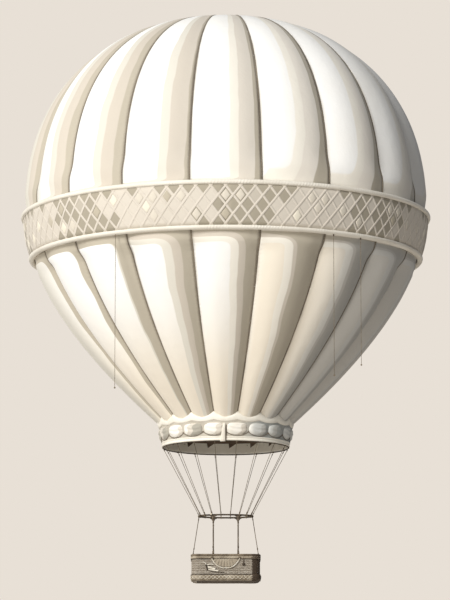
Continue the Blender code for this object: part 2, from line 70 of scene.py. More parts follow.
# %% [markdown]
# The picture looks up at the balloon from far away, so the camera stands near the floor, 120 m from
# the axis, with a long lens. That keeps the ellipses of the belt and of the mouth as flat as they
# are drawn. It aims at the middle of the picture, a little left of the axis.

# %% Camera
IMAGE_HEIGHT_PX = 600
CAMERA_DISTANCE = 120.0
CAMERA_HEIGHT = -22.2
FOCAL_LENGTH_PX = 3280.36
SENSOR = 36.0
AIM = Vector((-0.026, 0.0, -3.083))


def link(name, data):
    """An object for the data, in the scene."""
    item = bpy.data.objects.new(name, data)
    bpy.context.scene.collection.objects.link(item)
    return item


camera = link("camera", bpy.data.cameras.new("camera"))
camera.data.sensor_width = SENSOR
camera.data.lens = FOCAL_LENGTH_PX / IMAGE_HEIGHT_PX * SENSOR
camera.data.clip_end = 1000.0
camera.location = (AIM.x, -CAMERA_DISTANCE, CAMERA_HEIGHT)
camera.rotation_euler = (AIM - camera.location).to_track_quat("-Z", "Y").to_euler()
bpy.context.scene.camera = camera
print("lens in mm:", round(camera.data.lens, 1))

# %% [markdown]
# Node trees make most of the repeated pieces and every finish. Two small classes keep them short: a
# value is a node's output that takes the signs of arithmetic, and a wiring adds nodes whose inputs
# are numbers or values.

# %% Wiring for node trees
def sign(operation, swapped=False):
    """A method that turns a sign of arithmetic into a node."""
    def method(value, other):
        pair = (other, value) if swapped else (value, other)
        return value.wiring.math(operation, *pair)
    return method


class Value:
    """An output of a node; value[key] is another output of the same node."""

    def __init__(self, wiring, socket):
        self.wiring = wiring
        self.socket = socket

    def __getitem__(self, key):
        return Value(self.wiring, self.socket.node.outputs[key])

    __add__ = __radd__ = sign("ADD")
    __mul__ = __rmul__ = sign("MULTIPLY")
    __sub__ = sign("SUBTRACT")
    __rsub__ = sign("SUBTRACT", swapped=True)
    __truediv__ = sign("DIVIDE")
    __rtruediv__ = sign("DIVIDE", swapped=True)
    __pow__ = sign("POWER")
    __gt__ = sign("GREATER_THAN")
    __lt__ = sign("LESS_THAN")


class Wiring:
    """Adds nodes to a tree; each comes back as the value of its first output."""

    def __init__(self, tree):
        self.tree = tree

    def add(self, kind, inputs=None, **settings):
        node = self.tree.nodes.new(kind)
        for key, value in settings.items():
            setattr(node, key, value)
        for key, value in (inputs or {}).items():
            self.feed(node.inputs[key], value)
        return Value(self, node.outputs[0])

    def feed(self, socket, value):
        if isinstance(value, Value):
            self.tree.links.new(value.socket, socket)
        else:
            socket.default_value = value

    def math(self, operation, *values):
        return self.add("ShaderNodeMath", dict(enumerate(values)), operation=operation)

    def vector(self, operation, *values):
        return self.add("ShaderNodeVectorMath", dict(enumerate(values)), operation=operation)

    def scaled(self, vector, factor):
        return self.add("ShaderNodeVectorMath", {0: vector, "Scale": factor}, operation="SCALE")

    def point(self, x, y, z):
        return self.add("ShaderNodeCombineXYZ", {"X": x, "Y": y, "Z": z})

    def parts(self, vector):
        split = self.add("ShaderNodeSeparateXYZ", {0: vector})
        return [split[i] for i in range(3)]

    def noise_at(self, vector, scale=1.0, detail=2.0):
        return self.add("ShaderNodeTexNoise", {"Vector": vector, "Scale": scale, "Detail": detail})

    def between(self, value, low, high, to_low=0.0, to_high=1.0):
        """Runs smoothly from to_low to to_high as the value goes from low to high."""
        fields = {"Value": value, "From Min": low, "From Max": high, "To Min": to_low, "To Max": to_high}
        return self.add("ShaderNodeMapRange", fields, interpolation_type="SMOOTHSTEP")

    def mix(self, share, first, second):
        return self.add("ShaderNodeMix", {0: share, 6: first, 7: second}, data_type="RGBA")[2]


print("wiring ready")

# %% [markdown]
# Every finish is a Principled shader with its detail worked out by nodes from the place on the
# object: slow noise for stains, fine noise or waves for weave and grain, and bump from the same
# patterns. A painted image could do it too, but nodes stay sharp from near by. Values that are the
# same all over stay on the shader's own sockets.

# %% A class for finishes
def paint(red, green, blue):
    """A colour as a screen shows it, from 0 to 255, in the linear values that shaders take."""
    shares = [value / 255 for value in (red, green, blue)]
    return (*[s / 12.92 if s <= 0.04045 else ((s + 0.055) / 1.055) ** 2.4 for s in shares], 1.0)


class Finish(Wiring):
    """A material with one Principled shader; height and colour patterns are added to it."""

    def __init__(self, name, roughness, **constants):
        self.material = bpy.data.materials.new(name)
        self.material.use_nodes = True
        super().__init__(self.material.node_tree)
        self.shader = self.tree.nodes["Principled BSDF"]
        self.rough(roughness)
        for key, value in constants.items():
            self.shader.inputs[key.replace("_", " ")].default_value = value
        self.place = self.add("ShaderNodeTexCoord")["Object"]
        self.last_bump = None

    def uv(self):
        return self.add("ShaderNodeUVMap", uv_map="UVMap")

    def attribute(self, name):
        return self.add("ShaderNodeAttribute", attribute_name=name)["Fac"]

    def noise(self, scale, detail=2.0, stretch=None):
        at = self.vector("MULTIPLY", self.place, stretch) if stretch else self.place
        return self.noise_at(at, scale, detail)

    def wave(self, value, period):
        """A sine wave from 0 to 1 along a value in metres."""
        return self.math("SINE", value * (math.tau / period)) * 0.5 + 0.5

    def colour(self, value):
        self.tone = value
        self.feed(self.shader.inputs["Base Color"], value)

    def bump(self, height, depth):
        fields = {"Height": height, "Distance": depth}
        if self.last_bump is not None:
            fields["Normal"] = self.last_bump
        self.last_bump = self.add("ShaderNodeBump", fields)
        self.feed(self.shader.inputs["Normal"], self.last_bump)

    def rough(self, value):
        self.feed(self.shader.inputs["Roughness"], value)


def cloth_finish(name, light, shade, stain_scale=0.35, stain=0.5):
    """Matt cloth: slow stains between two colours, a weave, and small creases."""
    weave = 0.018
    made = Finish(name, 0.85, Sheen_Weight=0.15)
    slow = made.between(made.noise(stain_scale, 4.0), 0.35, 0.75, 0.0, stain)
    thread = made.noise(1.0 / weave, 1.0, stretch=(1.0, 1.0, 0.35))
    made.colour(made.mix(thread * 0.12 + slow, light, shade))
    made.bump(made.noise(1.0 / weave), weave * 0.06)
    made.bump(made.noise(3.0, 3.0), 0.012)
    return made


print("finish class ready")

# %% [markdown]
# Each gore of the envelope carries painted light and shade in four tones, white at its left, then
# cream, beige and taupe towards its right seam, as light from the left would fall on it and as the
# picture shows them. The white ends in a rounded corner of painted shade beside the belt, and higher
# above the belt on the gores at the right. Below the belt the white turns cream towards the mouth and
# on the right, and the cloth at the far right is greyer: both are painted shade. Beside each seam the
# cloth darkens with dust and painted shade. The tree that makes a gore keeps the place across it as an
# attribute, from -1 to 1, and one curved measure of that place and of the distance to the belt picks
# the tone. Strips could be meshes of their own, but one rule in the finish serves all eighteen gores.

# %% Envelope cloth
# The tones below are painted light and shade: white where a gore faces the light, then cream, beige and taupe
# as it turns away, and greyer tones on the side away from the light. The seam tone is dust and painted shade.
WHITE = paint(253, 252, 249)
CREAM = paint(247, 241, 228)
CREAM_LEFT = paint(224, 219, 206)
BEIGE_LEFT = paint(211, 201, 186)
BEIGE_RIGHT = paint(244, 237, 225)
TAUPE = paint(190, 181, 163)
STRAW = paint(245, 235, 217)
PAINTED_SHADE_GREY = paint(172, 170, 165)
PAINTED_SHADE_CONE = paint(163, 168, 172)
SEAM_DUST_AND_SHADE = paint(150, 139, 122)
BAND_EDGES = (0.43, 0.77, 1.42)
BAND_SOFT = 0.03
BAND_POWER = 2.8
UNDER_ROLL_Z = -1.72
PUCKER_PITCH = 0.16


def make_envelope_cloth():
    made = cloth_finish("envelope_cloth", WHITE, CREAM, stain=0.25)
    between, mix = made.between, made.mix
    across = made.attribute("across")
    along = made.parts(made.uv())[1]
    x, y, height = made.parts(made.place)
    turned = x / made.math("SQRT", x * x + y * y)
    below_belt = height < UNDER_ROLL_Z
    rightward = between(turned, 0.12, 0.22)
    leftward = between(turned, -0.42, -0.60)

    on_cone = between(turned, 0.0, 0.35, 0.0, 0.34) + between(turned, -0.76, -0.30, -0.64, 0.0)
    on_dome = between(height, 1.9, -0.2, 0.16, 0.38) * rightward
    narrower = on_cone * below_belt + on_dome * (1.0 - below_belt)
    drift = made.noise(0.5) - 0.5
    side = (across + 0.2 + narrower) * 1.33 + drift * 0.3
    above = height * between(rightward, 0.0, 1.0, -5.0, -0.5) + between(rightward, 0.0, 1.0, 0.83, 0.66)
    below = (UNDER_ROLL_Z - height) * -1.9 + (leftward * -0.28 + 1.19)
    near = made.add("ShaderNodeMix", {0: height > UNDER_ROLL_Z / 2, 2: below, 3: above})
    corner = [made.math("MAXIMUM", value, 0.0) ** BAND_POWER for value in (side, near)]
    measure = (corner[0] + corner[1]) ** (1.0 / BAND_POWER)

    # Painted shade: the white turns straw towards the mouth and on the right.
    straw = made.math("MAXIMUM", between(height, -3.2, -7.0), rightward)
    tone = mix(straw * below_belt, made.tone, STRAW)
    tone = mix(between(below_belt * 0.04 + turned, -0.88, -0.96), tone, CREAM_LEFT)
    cream = mix(between(turned, -0.5, 0.2), CREAM_LEFT, CREAM)
    beige = mix(between(turned, -0.5, 0.7) * (1.0 - below_belt * 0.9), BEIGE_LEFT, BEIGE_RIGHT)
    wider = made.math("MAXIMUM", below_belt, between(turned, -0.38, -0.55))
    edgeward = leftward * 0.66 + between(turned, 0.15, 0.30, 0.12, 0.30)
    sooner = below_belt * edgeward + wider * 0.2
    # The bands of painted light and shade, with rounded corners of painted shade beside the belt.
    for edge, colour, early in zip(BAND_EDGES, (cream, beige, TAUPE), (0.0, 0.0, sooner)):
        tone = mix(between(measure + early, edge - BAND_SOFT, edge + BAND_SOFT), tone, colour)

    # Dust and painted shade in the valley beside each seam.
    seam = made.math("ABSOLUTE", across)
    smudge = made.noise(1.4, 3.0, stretch=(1.0, 1.0, 0.25))
    dust_and_shade = between(seam, 0.88, 1.0) * between(smudge, 0.3, 0.7, 0.1, 0.7)
    # Painted shade: the cloth at the far right turns grey.
    right_shade = between(below_belt * 0.22 + turned, 0.66, 0.97, 0.0, 0.55)
    made.colour(mix(right_shade, mix(dust_and_shade, tone, SEAM_DUST_AND_SHADE), mix(below_belt, PAINTED_SHADE_GREY, PAINTED_SHADE_CONE)))
    made.bump(made.wave(along, PUCKER_PITCH) * between(seam, 0.80, 0.97), 0.006)
    return made


envelope_cloth = make_envelope_cloth()
print("envelope cloth:", len(envelope_cloth.tree.nodes), "nodes")

# %% [markdown]
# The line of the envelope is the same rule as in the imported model: a dome of a slightly squared
# circle above the widest ring, and below it one long curve that turns inward to the skirt. Stations
# run from 0 at the crown through 1 at the widest ring to 2 at the skirt.

# %% The line of the envelope
GORE_COUNT = 18
ENVELOPE_RADIUS = 7.5
DOME_HEIGHT = 7.43
DOME_POWER = 2.25
CONE_RADII = (7.5, 7.5, 4.76, 2.40)
CONE_HEIGHTS = (0.0, -2.73, -5.66, -7.80)
VENT_OPENING_RADIUS = 1.50
VENT_SEAT_RADIUS = 1.65
SKIN = 0.010
HALF_GORE = math.pi / GORE_COUNT


def crest_point(station):
    """Radius and height of the crest of a gore."""
    if station <= 1.0:
        angle = (1.0 - station) * math.pi / 2
        power = 2.0 / DOME_POWER
        return (ENVELOPE_RADIUS * max(0.0, math.cos(angle)) ** power if station > 0 else 0.0,
                DOME_HEIGHT * max(0.0, math.sin(angle)) ** power if station < 1 else 0.0)
    u = station - 1.0
    weights = ((1 - u) ** 3, 3 * u * (1 - u) ** 2, 3 * u * u * (1 - u), u ** 3)
    return (sum(w * r for w, r in zip(weights, CONE_RADII)),
            sum(w * z for w, z in zip(weights, CONE_HEIGHTS)))


def station_at_radius(radius):
    angle = math.acos((radius / ENVELOPE_RADIUS) ** (DOME_POWER / 2))
    return 1.0 - angle / (math.pi / 2)


def height_radius(z):
    """Radius of the crest line at a height, found by halving the stretch of stations."""
    low, high = (0.0, 1.0) if z > 0 else (1.0, 2.0)
    for _ in range(40):
        middle = (low + high) / 2
        low, high = (middle, high) if crest_point(middle)[1] > z else (low, middle)
    return crest_point(low)[0]


OPENING_STATION = station_at_radius(VENT_OPENING_RADIUS)
SEAT_STATION = station_at_radius(VENT_SEAT_RADIUS)
print("radius of the crest at the belt's lower edge:", round(height_radius(-1.57), 3))

# %% [markdown]
# Between its seams each gore swells outward. The swell fades at the crown and where the belt pulls
# the cloth flat, and it is deepest at the skirt. Right beside the belt the cloth also turns inward,
# so that the gores start with rounded shoulders under the lower roll.

# %% How the gores swell
LOBE_ENDS = 0.0075
LOBE_DOME = 0.040
LOBE_CONE = 0.082
LOBE_BELT = 0.012
LOBE_RISE = 0.20
LOBE_FADE = 0.085
BELT_STATIONS = (1.0, 1.207)
SHOULDER_TUCK = 0.10
SHOULDER_FADE = 0.045
FOLD_CONE = 0.020
FOLD_DOME = 0.006
GORE_ROWS = 168
FINE_STEPS = 2000


def ease(share):
    """Runs smoothly from 0 to 1 as share does, and stays there beyond it."""
    held = min(1.0, max(0.0, share))
    return held * held * (3 - 2 * held)


def steps(count):
    """Even shares from 0 to 1."""
    return [k / count for k in range(count + 1)]


def part_way(start, goal, share):
    return start + (goal - start) * share


def runs(points):
    """The distance along the points, from the first one to each."""
    run = [0.0]
    for a, b in zip(points, points[1:]):
        run.append(run[-1] + math.dist(a, b))
    return run


def off_belt(station):
    return max(BELT_STATIONS[0] - station, station - BELT_STATIONS[1])


def lobe_depth(station):
    """Share of the radius by which the seam lies inside the crest."""
    full = part_way(LOBE_DOME, LOBE_CONE, max(0.0, station - 1.0))
    full = part_way(LOBE_BELT, full, ease(off_belt(station) / LOBE_FADE))
    return part_way(LOBE_ENDS, full, ease((station - SEAT_STATION) / LOBE_RISE))


def cloth_point(station):
    """Radius and height of the cloth's crest, tucked in beside the belt."""
    radius, z = crest_point(station)
    return radius - SHOULDER_TUCK * (1.0 - ease(off_belt(station) / SHOULDER_FADE)), z


def seam_radius(station):
    return cloth_point(station)[0] * (1.0 - lobe_depth(station))


def fold_depth(station):
    """How deep the cloth folds lengthways: hardly on the dome, more towards the skirt."""
    return part_way(FOLD_DOME, FOLD_CONE, ease((station - 1.25) / 0.5))


def even_stations(rows):
    """Stations from the crown opening to the skirt, spaced by distance along the crest."""
    fine = [part_way(OPENING_STATION, 2.0, share) for share in steps(FINE_STEPS)]
    run = runs([crest_point(station) for station in fine])
    chosen, k = [], 0
    for share in steps(rows - 1):
        while k < FINE_STEPS and run[k] < run[-1] * share:
            k += 1
        chosen.append(fine[k])
    return chosen, run[-1]


gore_stations, GORE_LENGTH = even_stations(GORE_ROWS)
print("length of a gore in metres:", round(GORE_LENGTH, 2))

# %% [markdown]
# Gores, ropes, copies, weave and stitches follow rules, so Geometry Nodes trees make them. This class
# gives a tree named inputs for its sizes, ends it in realized instances and a finish, and turns what
# it makes into a plain mesh. A tree could also stay live on its object, but a plain mesh is sure to
# be exported as it is seen.

# %% Trees that make meshes
class GeometryTree(Wiring):
    """A Geometry Nodes tree with named sizes, which ends in realized instances and a finish."""

    def __init__(self, name):
        super().__init__(bpy.data.node_groups.new(name, "GeometryNodeTree"))
        self.socket("Geometry", "NodeSocketGeometry")
        self.socket("Geometry", "NodeSocketGeometry", "OUTPUT")
        self.socket("Finish", "NodeSocketMaterial")
        self.start = self.tree.nodes.new("NodeGroupInput")
        self.base = Value(self, self.start.outputs["Geometry"])

    def socket(self, name, kind, way="INPUT"):
        return self.tree.interface.new_socket(name, in_out=way, socket_type=kind)

    def sizes(self, **given):
        """Named inputs, with spaces in their names as _; an int stays a whole number."""
        made = []
        for key, value in given.items():
            name = key.replace("_", " ")
            whole = isinstance(value, int)
            self.socket(name, "NodeSocketInt" if whole else "NodeSocketFloat").default_value = value
            made.append(Value(self, self.start.outputs[name]))
        return made

    def named(self, name, kind="FLOAT"):
        return self.add("GeometryNodeInputNamedAttribute", {"Name": name}, data_type=kind)

    def stored(self, geometry, name, value, kind="FLOAT", domain="POINT"):
        fields = {"Geometry": geometry, "Name": name, "Value": value}
        return self.add("GeometryNodeStoreNamedAttribute", fields, data_type=kind, domain=domain)

    def line(self):
        """The base mesh as a curve."""
        return self.add("GeometryNodeMeshToCurve", {"Mesh": self.base})

    def circle(self, sides, radius):
        return self.add("GeometryNodeCurvePrimitiveCircle", {"Resolution": sides, "Radius": radius})

    def sweep(self, curve, profile, caps=False):
        fields = {"Curve": curve, "Profile Curve": profile, "Fill Caps": caps}
        return self.add("GeometryNodeCurveToMesh", fields)

    def chance(self, kind, output, **inputs):
        return self.add("FunctionNodeRandomValue", inputs, data_type=kind)[output]

    def end(self, geometry):
        real = self.add("GeometryNodeRealizeInstances", {"Geometry": geometry})
        smooth = self.add("GeometryNodeSetShadeSmooth", {"Geometry": real})
        finish = Value(self, self.start.outputs["Finish"])
        done = self.add("GeometryNodeSetMaterial", {"Geometry": smooth, "Material": finish})
        self.feed(self.tree.nodes.new("NodeGroupOutput").inputs[0], done)

    def grow(self, name, base, finish, **sizes):
        """The mesh that this tree makes from a base mesh, with spaces in its sizes' names as _."""
        item = link(name, base)
        modifier = item.modifiers.new("grown", "NODES")
        modifier.node_group = self.tree
        given = {key.replace("_", " "): value for key, value in sizes.items()}
        given["Finish"] = finish.material
        for entry in self.tree.interface.items_tree:
            if entry.item_type == "SOCKET" and entry.in_out == "INPUT" and entry.name in given:
                modifier[entry.identifier] = given.pop(entry.name)
        if given:
            raise ValueError(f"{name}: no such sizes: {sorted(given)}")
        seen = item.evaluated_get(bpy.context.evaluated_depsgraph_get())
        mesh = bpy.data.meshes.new_from_object(seen)
        mesh.name = name
        bpy.data.objects.remove(item)
        return mesh


print("trees ready")

# %% [markdown]
# A gore's shape follows a rule, so a Geometry Nodes tree makes it. Its base is a row of guide points
# down the crest, each with the swell and the fold of its height. The tree bends one row of a grid
# between two seams for each guide point, on the arc through seam, crest and seam, then adds folds
# and a little noise. All eighteen gores come from the same tree, each with its own turn and seed.

# %% The gore tree
def make_gore_tree():
    tree = GeometryTree("gore_of_cloth")
    columns, rows, half, turn, seed, crease = tree.sizes(
        Columns=23, Rows=GORE_ROWS, Half_Angle=HALF_GORE, Turn=0.0, Seed=0.0, Crease=0.010)
    grid = tree.add("GeometryNodeMeshGrid", {"Size X": 2.0, "Size Y": 2.0, "Vertices X": columns,
                                             "Vertices Y": rows})
    place = tree.add("GeometryNodeInputPosition")
    across, down, _ = tree.parts(place)
    row = tree.math("ROUND", (down * -0.5 + 0.5) * (rows - 1.0))

    def guide(value, kind="FLOAT"):
        fields = {"Geometry": tree.base, "Value": value, "Index": row}
        return tree.add("GeometryNodeSampleIndex", fields, data_type=kind)

    crest, run, height = tree.parts(guide(place, "FLOAT_VECTOR"))
    seam = crest * (1.0 - guide(tree.named("swell")))
    chord = seam * tree.math("SINE", half)
    bulge = crest - seam * tree.math("COSINE", half)
    arc = (chord * chord + bulge * bulge) / (bulge * 2.0)
    angle = across * tree.math("ARCSINE", chord / arc)

    drift = tree.noise_at(tree.point(across * 1.6, run * 0.45, seed))
    phase = across * (5.0 * math.pi / 2) + drift * 5.0
    lean = across * across * 0.7 + 0.3
    fold = tree.math("COSINE", phase) * guide(tree.named("fold")) * lean
    dent = tree.noise_at(tree.point(across * 4.0, run * 1.3, seed), detail=3.0)
    fold = fold + (dent - 0.5) * crease
    held = 1.0 - tree.math("ABSOLUTE", across) ** 6.0
    swollen = fold * held + arc

    side = tree.math("SINE", angle) * swollen
    out = tree.math("COSINE", angle) * swollen + (crest - arc)
    flat = tree.point(side, out * -1.0, height)
    turned = tree.add("ShaderNodeVectorRotate", {"Vector": flat, "Angle": turn}, rotation_type="Z_AXIS")
    marked = tree.stored(grid, "UVMap", tree.point(angle * arc, run, 0.0), "FLOAT2", "CORNER")
    marked = tree.stored(marked, "across", across)
    tree.end(tree.add("GeometryNodeSetPosition", {"Geometry": marked, "Position": turned}))
    return tree


gore_tree = make_gore_tree()
print("gore tree:", len(gore_tree.tree.nodes), "nodes")

# %% [markdown]
# The guide is a line of points, one for each row of the gore's grid. A point's place holds the radius
# of the crest, the distance down the cloth and the height, and the swell and the fold are kept with
# it as attributes.

# %% Guide points of a gore
def bare_mesh(name, bm):
    mesh = bpy.data.meshes.new(name)
    bm.to_mesh(mesh)
    bm.free()
    return mesh


def path_mesh(name, routes, closed=False):
    """Lines of vertices and edges, for a tree that turns them into curves."""
    bm = bmesh.new()
    for route in routes:
        verts = [bm.verts.new(point) for point in route]
        for a, b in zip(verts, verts[1:] + (verts[:1] if closed else [])):
            bm.edges.new((a, b))
    return bare_mesh(name, bm)


def keep(mesh, name, values, kind="FLOAT", field="value"):
    """Keeps a value at each point of a mesh, for a tree to read."""
    mesh.attributes.new(name, kind, "POINT").data.foreach_set(field, values)


def gore_guide():
    """Points of crest radius, distance down the cloth and height."""
    points = [cloth_point(station) for station in gore_stations]
    mesh = path_mesh("gore_guide", [[(radius, run, z)] for (radius, z), run in zip(points, runs(points))])
    for name, rule in (("swell", lobe_depth), ("fold", fold_depth)):
        keep(mesh, name, [rule(station) for station in gore_stations])
    return mesh


guide_mesh = gore_guide()
print("guide points:", len(guide_mesh.vertices))

# %% [markdown]
# A piece is a mesh whose object stands at the origin, with its place in its vertices. It rides on a
# body of the imported model and stands for the nodes that it replaces, which are hidden. The flat area
# of a gore is the width of the cut at each height times the step along it, which is what a sailmaker
# would lay out.

# %% The eighteen gores
def add_piece(name, mesh, slot, stands_for=(), body="root"):
    item = link(name, mesh)
    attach(item, body)
    if stands_for:
        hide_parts(*stands_for)
    print(f"{name}: {len(mesh.polygons)} faces")
    return item


def grow_piece(tree, name, base, finish, slot, stands_for=(), **sizes):
    return add_piece(name, tree.grow(name, base, finish, **sizes), slot, stands_for)


def thicken(item, thickness):
    shell = item.modifiers.new("thickness", "SOLIDIFY")
    shell.thickness = thickness
    shell.offset = -1.0
    return shell


def cut_width(station):
    """Width of the cloth from seam to seam at one height."""
    crest, seam = cloth_point(station)[0], seam_radius(station)
    chord = seam * math.sin(HALF_GORE)
    bulge = crest - seam * math.cos(HALF_GORE)
    arc = (chord ** 2 + bulge ** 2) / (2 * bulge)
    return 2 * arc * math.asin(chord / arc)


widths = [cut_width(station) for station in gore_stations]
GORE_AREA = sum(widths) / len(widths) * GORE_LENGTH

for number in range(GORE_COUNT):
    name = f"gore_{number + 1:02d}"
    gore = grow_piece(gore_tree, f"{name}_cloth", guide_mesh, envelope_cloth, "envelope_cloth", [name],
                      Turn=math.tau * number / GORE_COUNT, Seed=3.7 * number)
    thicken(gore, SKIN)

# %% [markdown]
# Much of a balloon is one thing made again for every gore. This tree turns copies of its base round
# the axis: how many, from which angle, how unevenly they stand and what share of them is kept. Each
# copy carries its own number from 0 to 1, so that a finish can tell the copies apart.

# %% Copies round the axis
def make_around_tree():
    tree = GeometryTree("copies_round_the_axis")
    count, first, uneven, kept, seed = tree.sizes(Count=GORE_COUNT, First_Turn=0.0, Unevenness=0.0,
                                                  Kept_Share=1.0, Seed=1)
    points = tree.add("GeometryNodeMeshLine", {"Count": count, "Offset": (0.0, 0.0, 0.0)})
    turn = tree.add("GeometryNodeInputIndex") * (math.tau / count) + first
    wobble = (tree.chance("FLOAT", 1, Seed=seed) - 0.5) * uneven
    fields = {"Points": points, "Selection": tree.chance("BOOLEAN", 3, Probability=kept, Seed=seed),
              "Instance": tree.base, "Rotation": tree.point(0.0, 0.0, turn + wobble)}
    copies = tree.add("GeometryNodeInstanceOnPoints", fields)
    tree.end(tree.stored(copies, "copy", tree.chance("FLOAT", 1, Seed=seed + 7), domain="INSTANCE"))
    return tree


around_tree = make_around_tree()


def copy_piece(name, base, finish, slot, **sizes):
    """A piece of copies of its base, turned round the axis."""
    return grow_piece(around_tree, name, base, finish, slot, **sizes)


print("tree of copies:", len(around_tree.tree.nodes), "nodes")

# %% [markdown]
# Most other meshes are lofts: rows of points with quads between them. Modelling by hand would do as
# well for one of them, but a loft keeps every row where its rule puts it. Blender's sphere tool can
# order its faces anew from run to run, so the points and faces are sorted.

# %% Lofts
MERGE = 0.0001


def settle(bm):
    """Sorts points and faces, so that each run gives the same mesh."""
    for items, place in ((bm.verts, lambda vert: tuple(vert.co)),
                         (bm.faces, lambda face: sorted(vert.index for vert in face.verts))):
        for index, item in enumerate(sorted(items, key=place)):
            item.index = index
        items.sort()
        items.index_update()


def mesh_of(name, bm, finish=None):
    """Closes a bmesh into a smooth mesh with its faces outward."""
    bmesh.ops.remove_doubles(bm, verts=bm.verts, dist=MERGE)
    bmesh.ops.recalc_face_normals(bm, faces=bm.faces)
    settle(bm)
    mesh = bare_mesh(name, bm)
    mesh.shade_smooth()
    if finish:
        mesh.materials.append(finish.material)
    return mesh


def loft(bm, rows, closed=False, ring=False, caps=False):
    """Quads between rows. closed joins a row's ends, ring joins the last row to the first."""
    verts = [[bm.verts.new(point) for point in row] for row in rows]
    columns = len(rows[0])
    faces = []
    for upper, lower in zip(verts, verts[1:] + (verts[:1] if ring else [])):
        for i in range(columns if closed else columns - 1):
            j = (i + 1) % columns
            faces.append(bm.faces.new((upper[i], lower[i], lower[j], upper[j])))
    if caps:
        bm.faces.new(verts[0])
        bm.faces.new(list(reversed(verts[-1])))
    return verts, faces


def lofted(name, rows, finish=None, **joins):
    bm = bmesh.new()
    loft(bm, rows, **joins)
    return mesh_of(name, bm, finish)


print("lofts ready, points nearer than", MERGE, "m are merged")

# %% [markdown]
# A tape runs down every seam and carries the load from the crown to the mouth. In the picture it is
# the dark line between two gores. It could be a curve with a flat bevel; here one tape is lofted
# along the seam, a little proud of the valley, and the tree above turns it to all eighteen seams.

# %% Seam tapes
TAPE_WIDTH = 0.046
TAPE_RISE = 0.016
TAPE_CROWN = 0.010


def make_tape_cloth():
    made = Finish("tape_cloth", 0.8, Sheen_Weight=0.1)
    along = made.parts(made.uv())[1]
    tone = made.between(made.noise(2.2, 3.0, stretch=(1.0, 1.0, 0.3)), 0.3, 0.7)
    tape = made.mix(tone, paint(132, 120, 102), paint(92, 81, 67))
    stitch = made.between(made.wave(along, 0.06), 0.75, 0.95, 0.0, 0.35)
    made.colour(made.mix(stitch, tape, paint(190, 178, 156)))
    made.bump(made.wave(along, 0.012), 0.0015)
    made.bump(made.wave(along, 0.06), 0.003)
    return made


def seam_tape():
    """One tape, with distance across and along it as its UV map."""
    bm = bmesh.new()
    uv = bm.loops.layers.uv.new("UVMap")
    half = TAPE_WIDTH / 2
    section = ((-half, -0.006), (-half, 0.002), (0.0, TAPE_CROWN), (half, 0.002), (half, -0.006))
    line = [(seam_radius(station) + TAPE_RISE, cloth_point(station)[1]) for station in gore_stations]
    rows = []
    for station, (radius, z) in zip(gore_stations, line):
        near, far = crest_point(max(0.0, station - 0.002)), crest_point(min(2.0, station + 0.002))
        slope = Vector((far[0] - near[0], far[1] - near[1])).normalized()
        rows.append([(side, -(radius - slope.y * lift), z + slope.x * lift) for side, lift in section])
    verts, faces = loft(bm, rows, closed=True, caps=True)
    run_of = {vert: run for row, run in zip(verts, runs(line)) for vert in row}
    for face in faces:
        for loop in face.loops:
            loop[uv].uv = (loop.vert.co.x, run_of[loop.vert])
    return mesh_of("seam_tape", bm)


tape_cloth = make_tape_cloth()
copy_piece("seam_tapes", seam_tape(), tape_cloth, "rope", First_Turn=HALF_GORE)

# %% [markdown]
# The belt round the widest ring is a strip of beige cloth, sewn from three lengths, each a thin sheet
# bent round the crests of the gores. The picture draws it plain for a stretch and darker for the
# next, and every dark patch ends at a ribbon of the lattice. So the finish first finds the diamond
# that a place lies in, and then a wave along the belt and a little chance give that diamond its tone.

# %% Belt cloth
BELT_TOP_Z = -0.17
BELT_BOTTOM_Z = -1.57
BELT_HEIGHT = BELT_TOP_Z - BELT_BOTTOM_Z
BELT_MIDDLE_Z = (BELT_TOP_Z + BELT_BOTTOM_Z) / 2
BELT_CLOTH = 0.012
BELT_OFF = 0.002
BELT_LENGTHS = 3
BELT_COLUMNS = 72
BELT_ROWS = 9
BELT_PLAIN = paint(217, 208, 194)
BELT_DARK = paint(170, 161, 143)
BELT_STRETCHES = 8
LATTICE_COUNT = 90
LATTICE_STEP = math.tau / LATTICE_COUNT
DIAMOND_HEIGHT = 0.65


def make_belt_cloth():
    made = Finish("belt_cloth", 0.85, Sheen_Weight=0.15)
    around, z, _ = made.parts(made.uv())
    turn = around * (1.0 / ENVELOPE_RADIUS / LATTICE_STEP)
    rise = (z - BELT_MIDDLE_Z) / DIAMOND_HEIGHT
    first = made.math("FLOOR", turn - rise)
    second = made.math("FLOOR", turn + rise)
    middle = (first + second) * 0.5 + 0.5
    swing = made.math("COSINE", middle * (BELT_STRETCHES * LATTICE_STEP) - 0.42)
    chance = made.add("ShaderNodeTexWhiteNoise", {"Vector": made.point(first, second, 0.0)})["Value"]
    at_top = (second - first) > 1.5
    patch = chance * 1.3 + swing + at_top
    made.colour(made.mix(made.between(patch, 0.95, 1.0), BELT_PLAIN, BELT_DARK))
    made.bump(made.noise(60.0), 0.0012)
    made.bump(made.noise(2.5, 3.0), 0.010)
    return made


def polar(radius, azimuth, z):
    """A point at an azimuth counted from the front, towards +X."""
    return Vector((radius * math.sin(azimuth), -radius * math.cos(azimuth), z))


def belt_point(azimuth, z, lift=0.0):
    return polar(height_radius(z) + BELT_OFF + BELT_CLOTH + lift, azimuth, z)


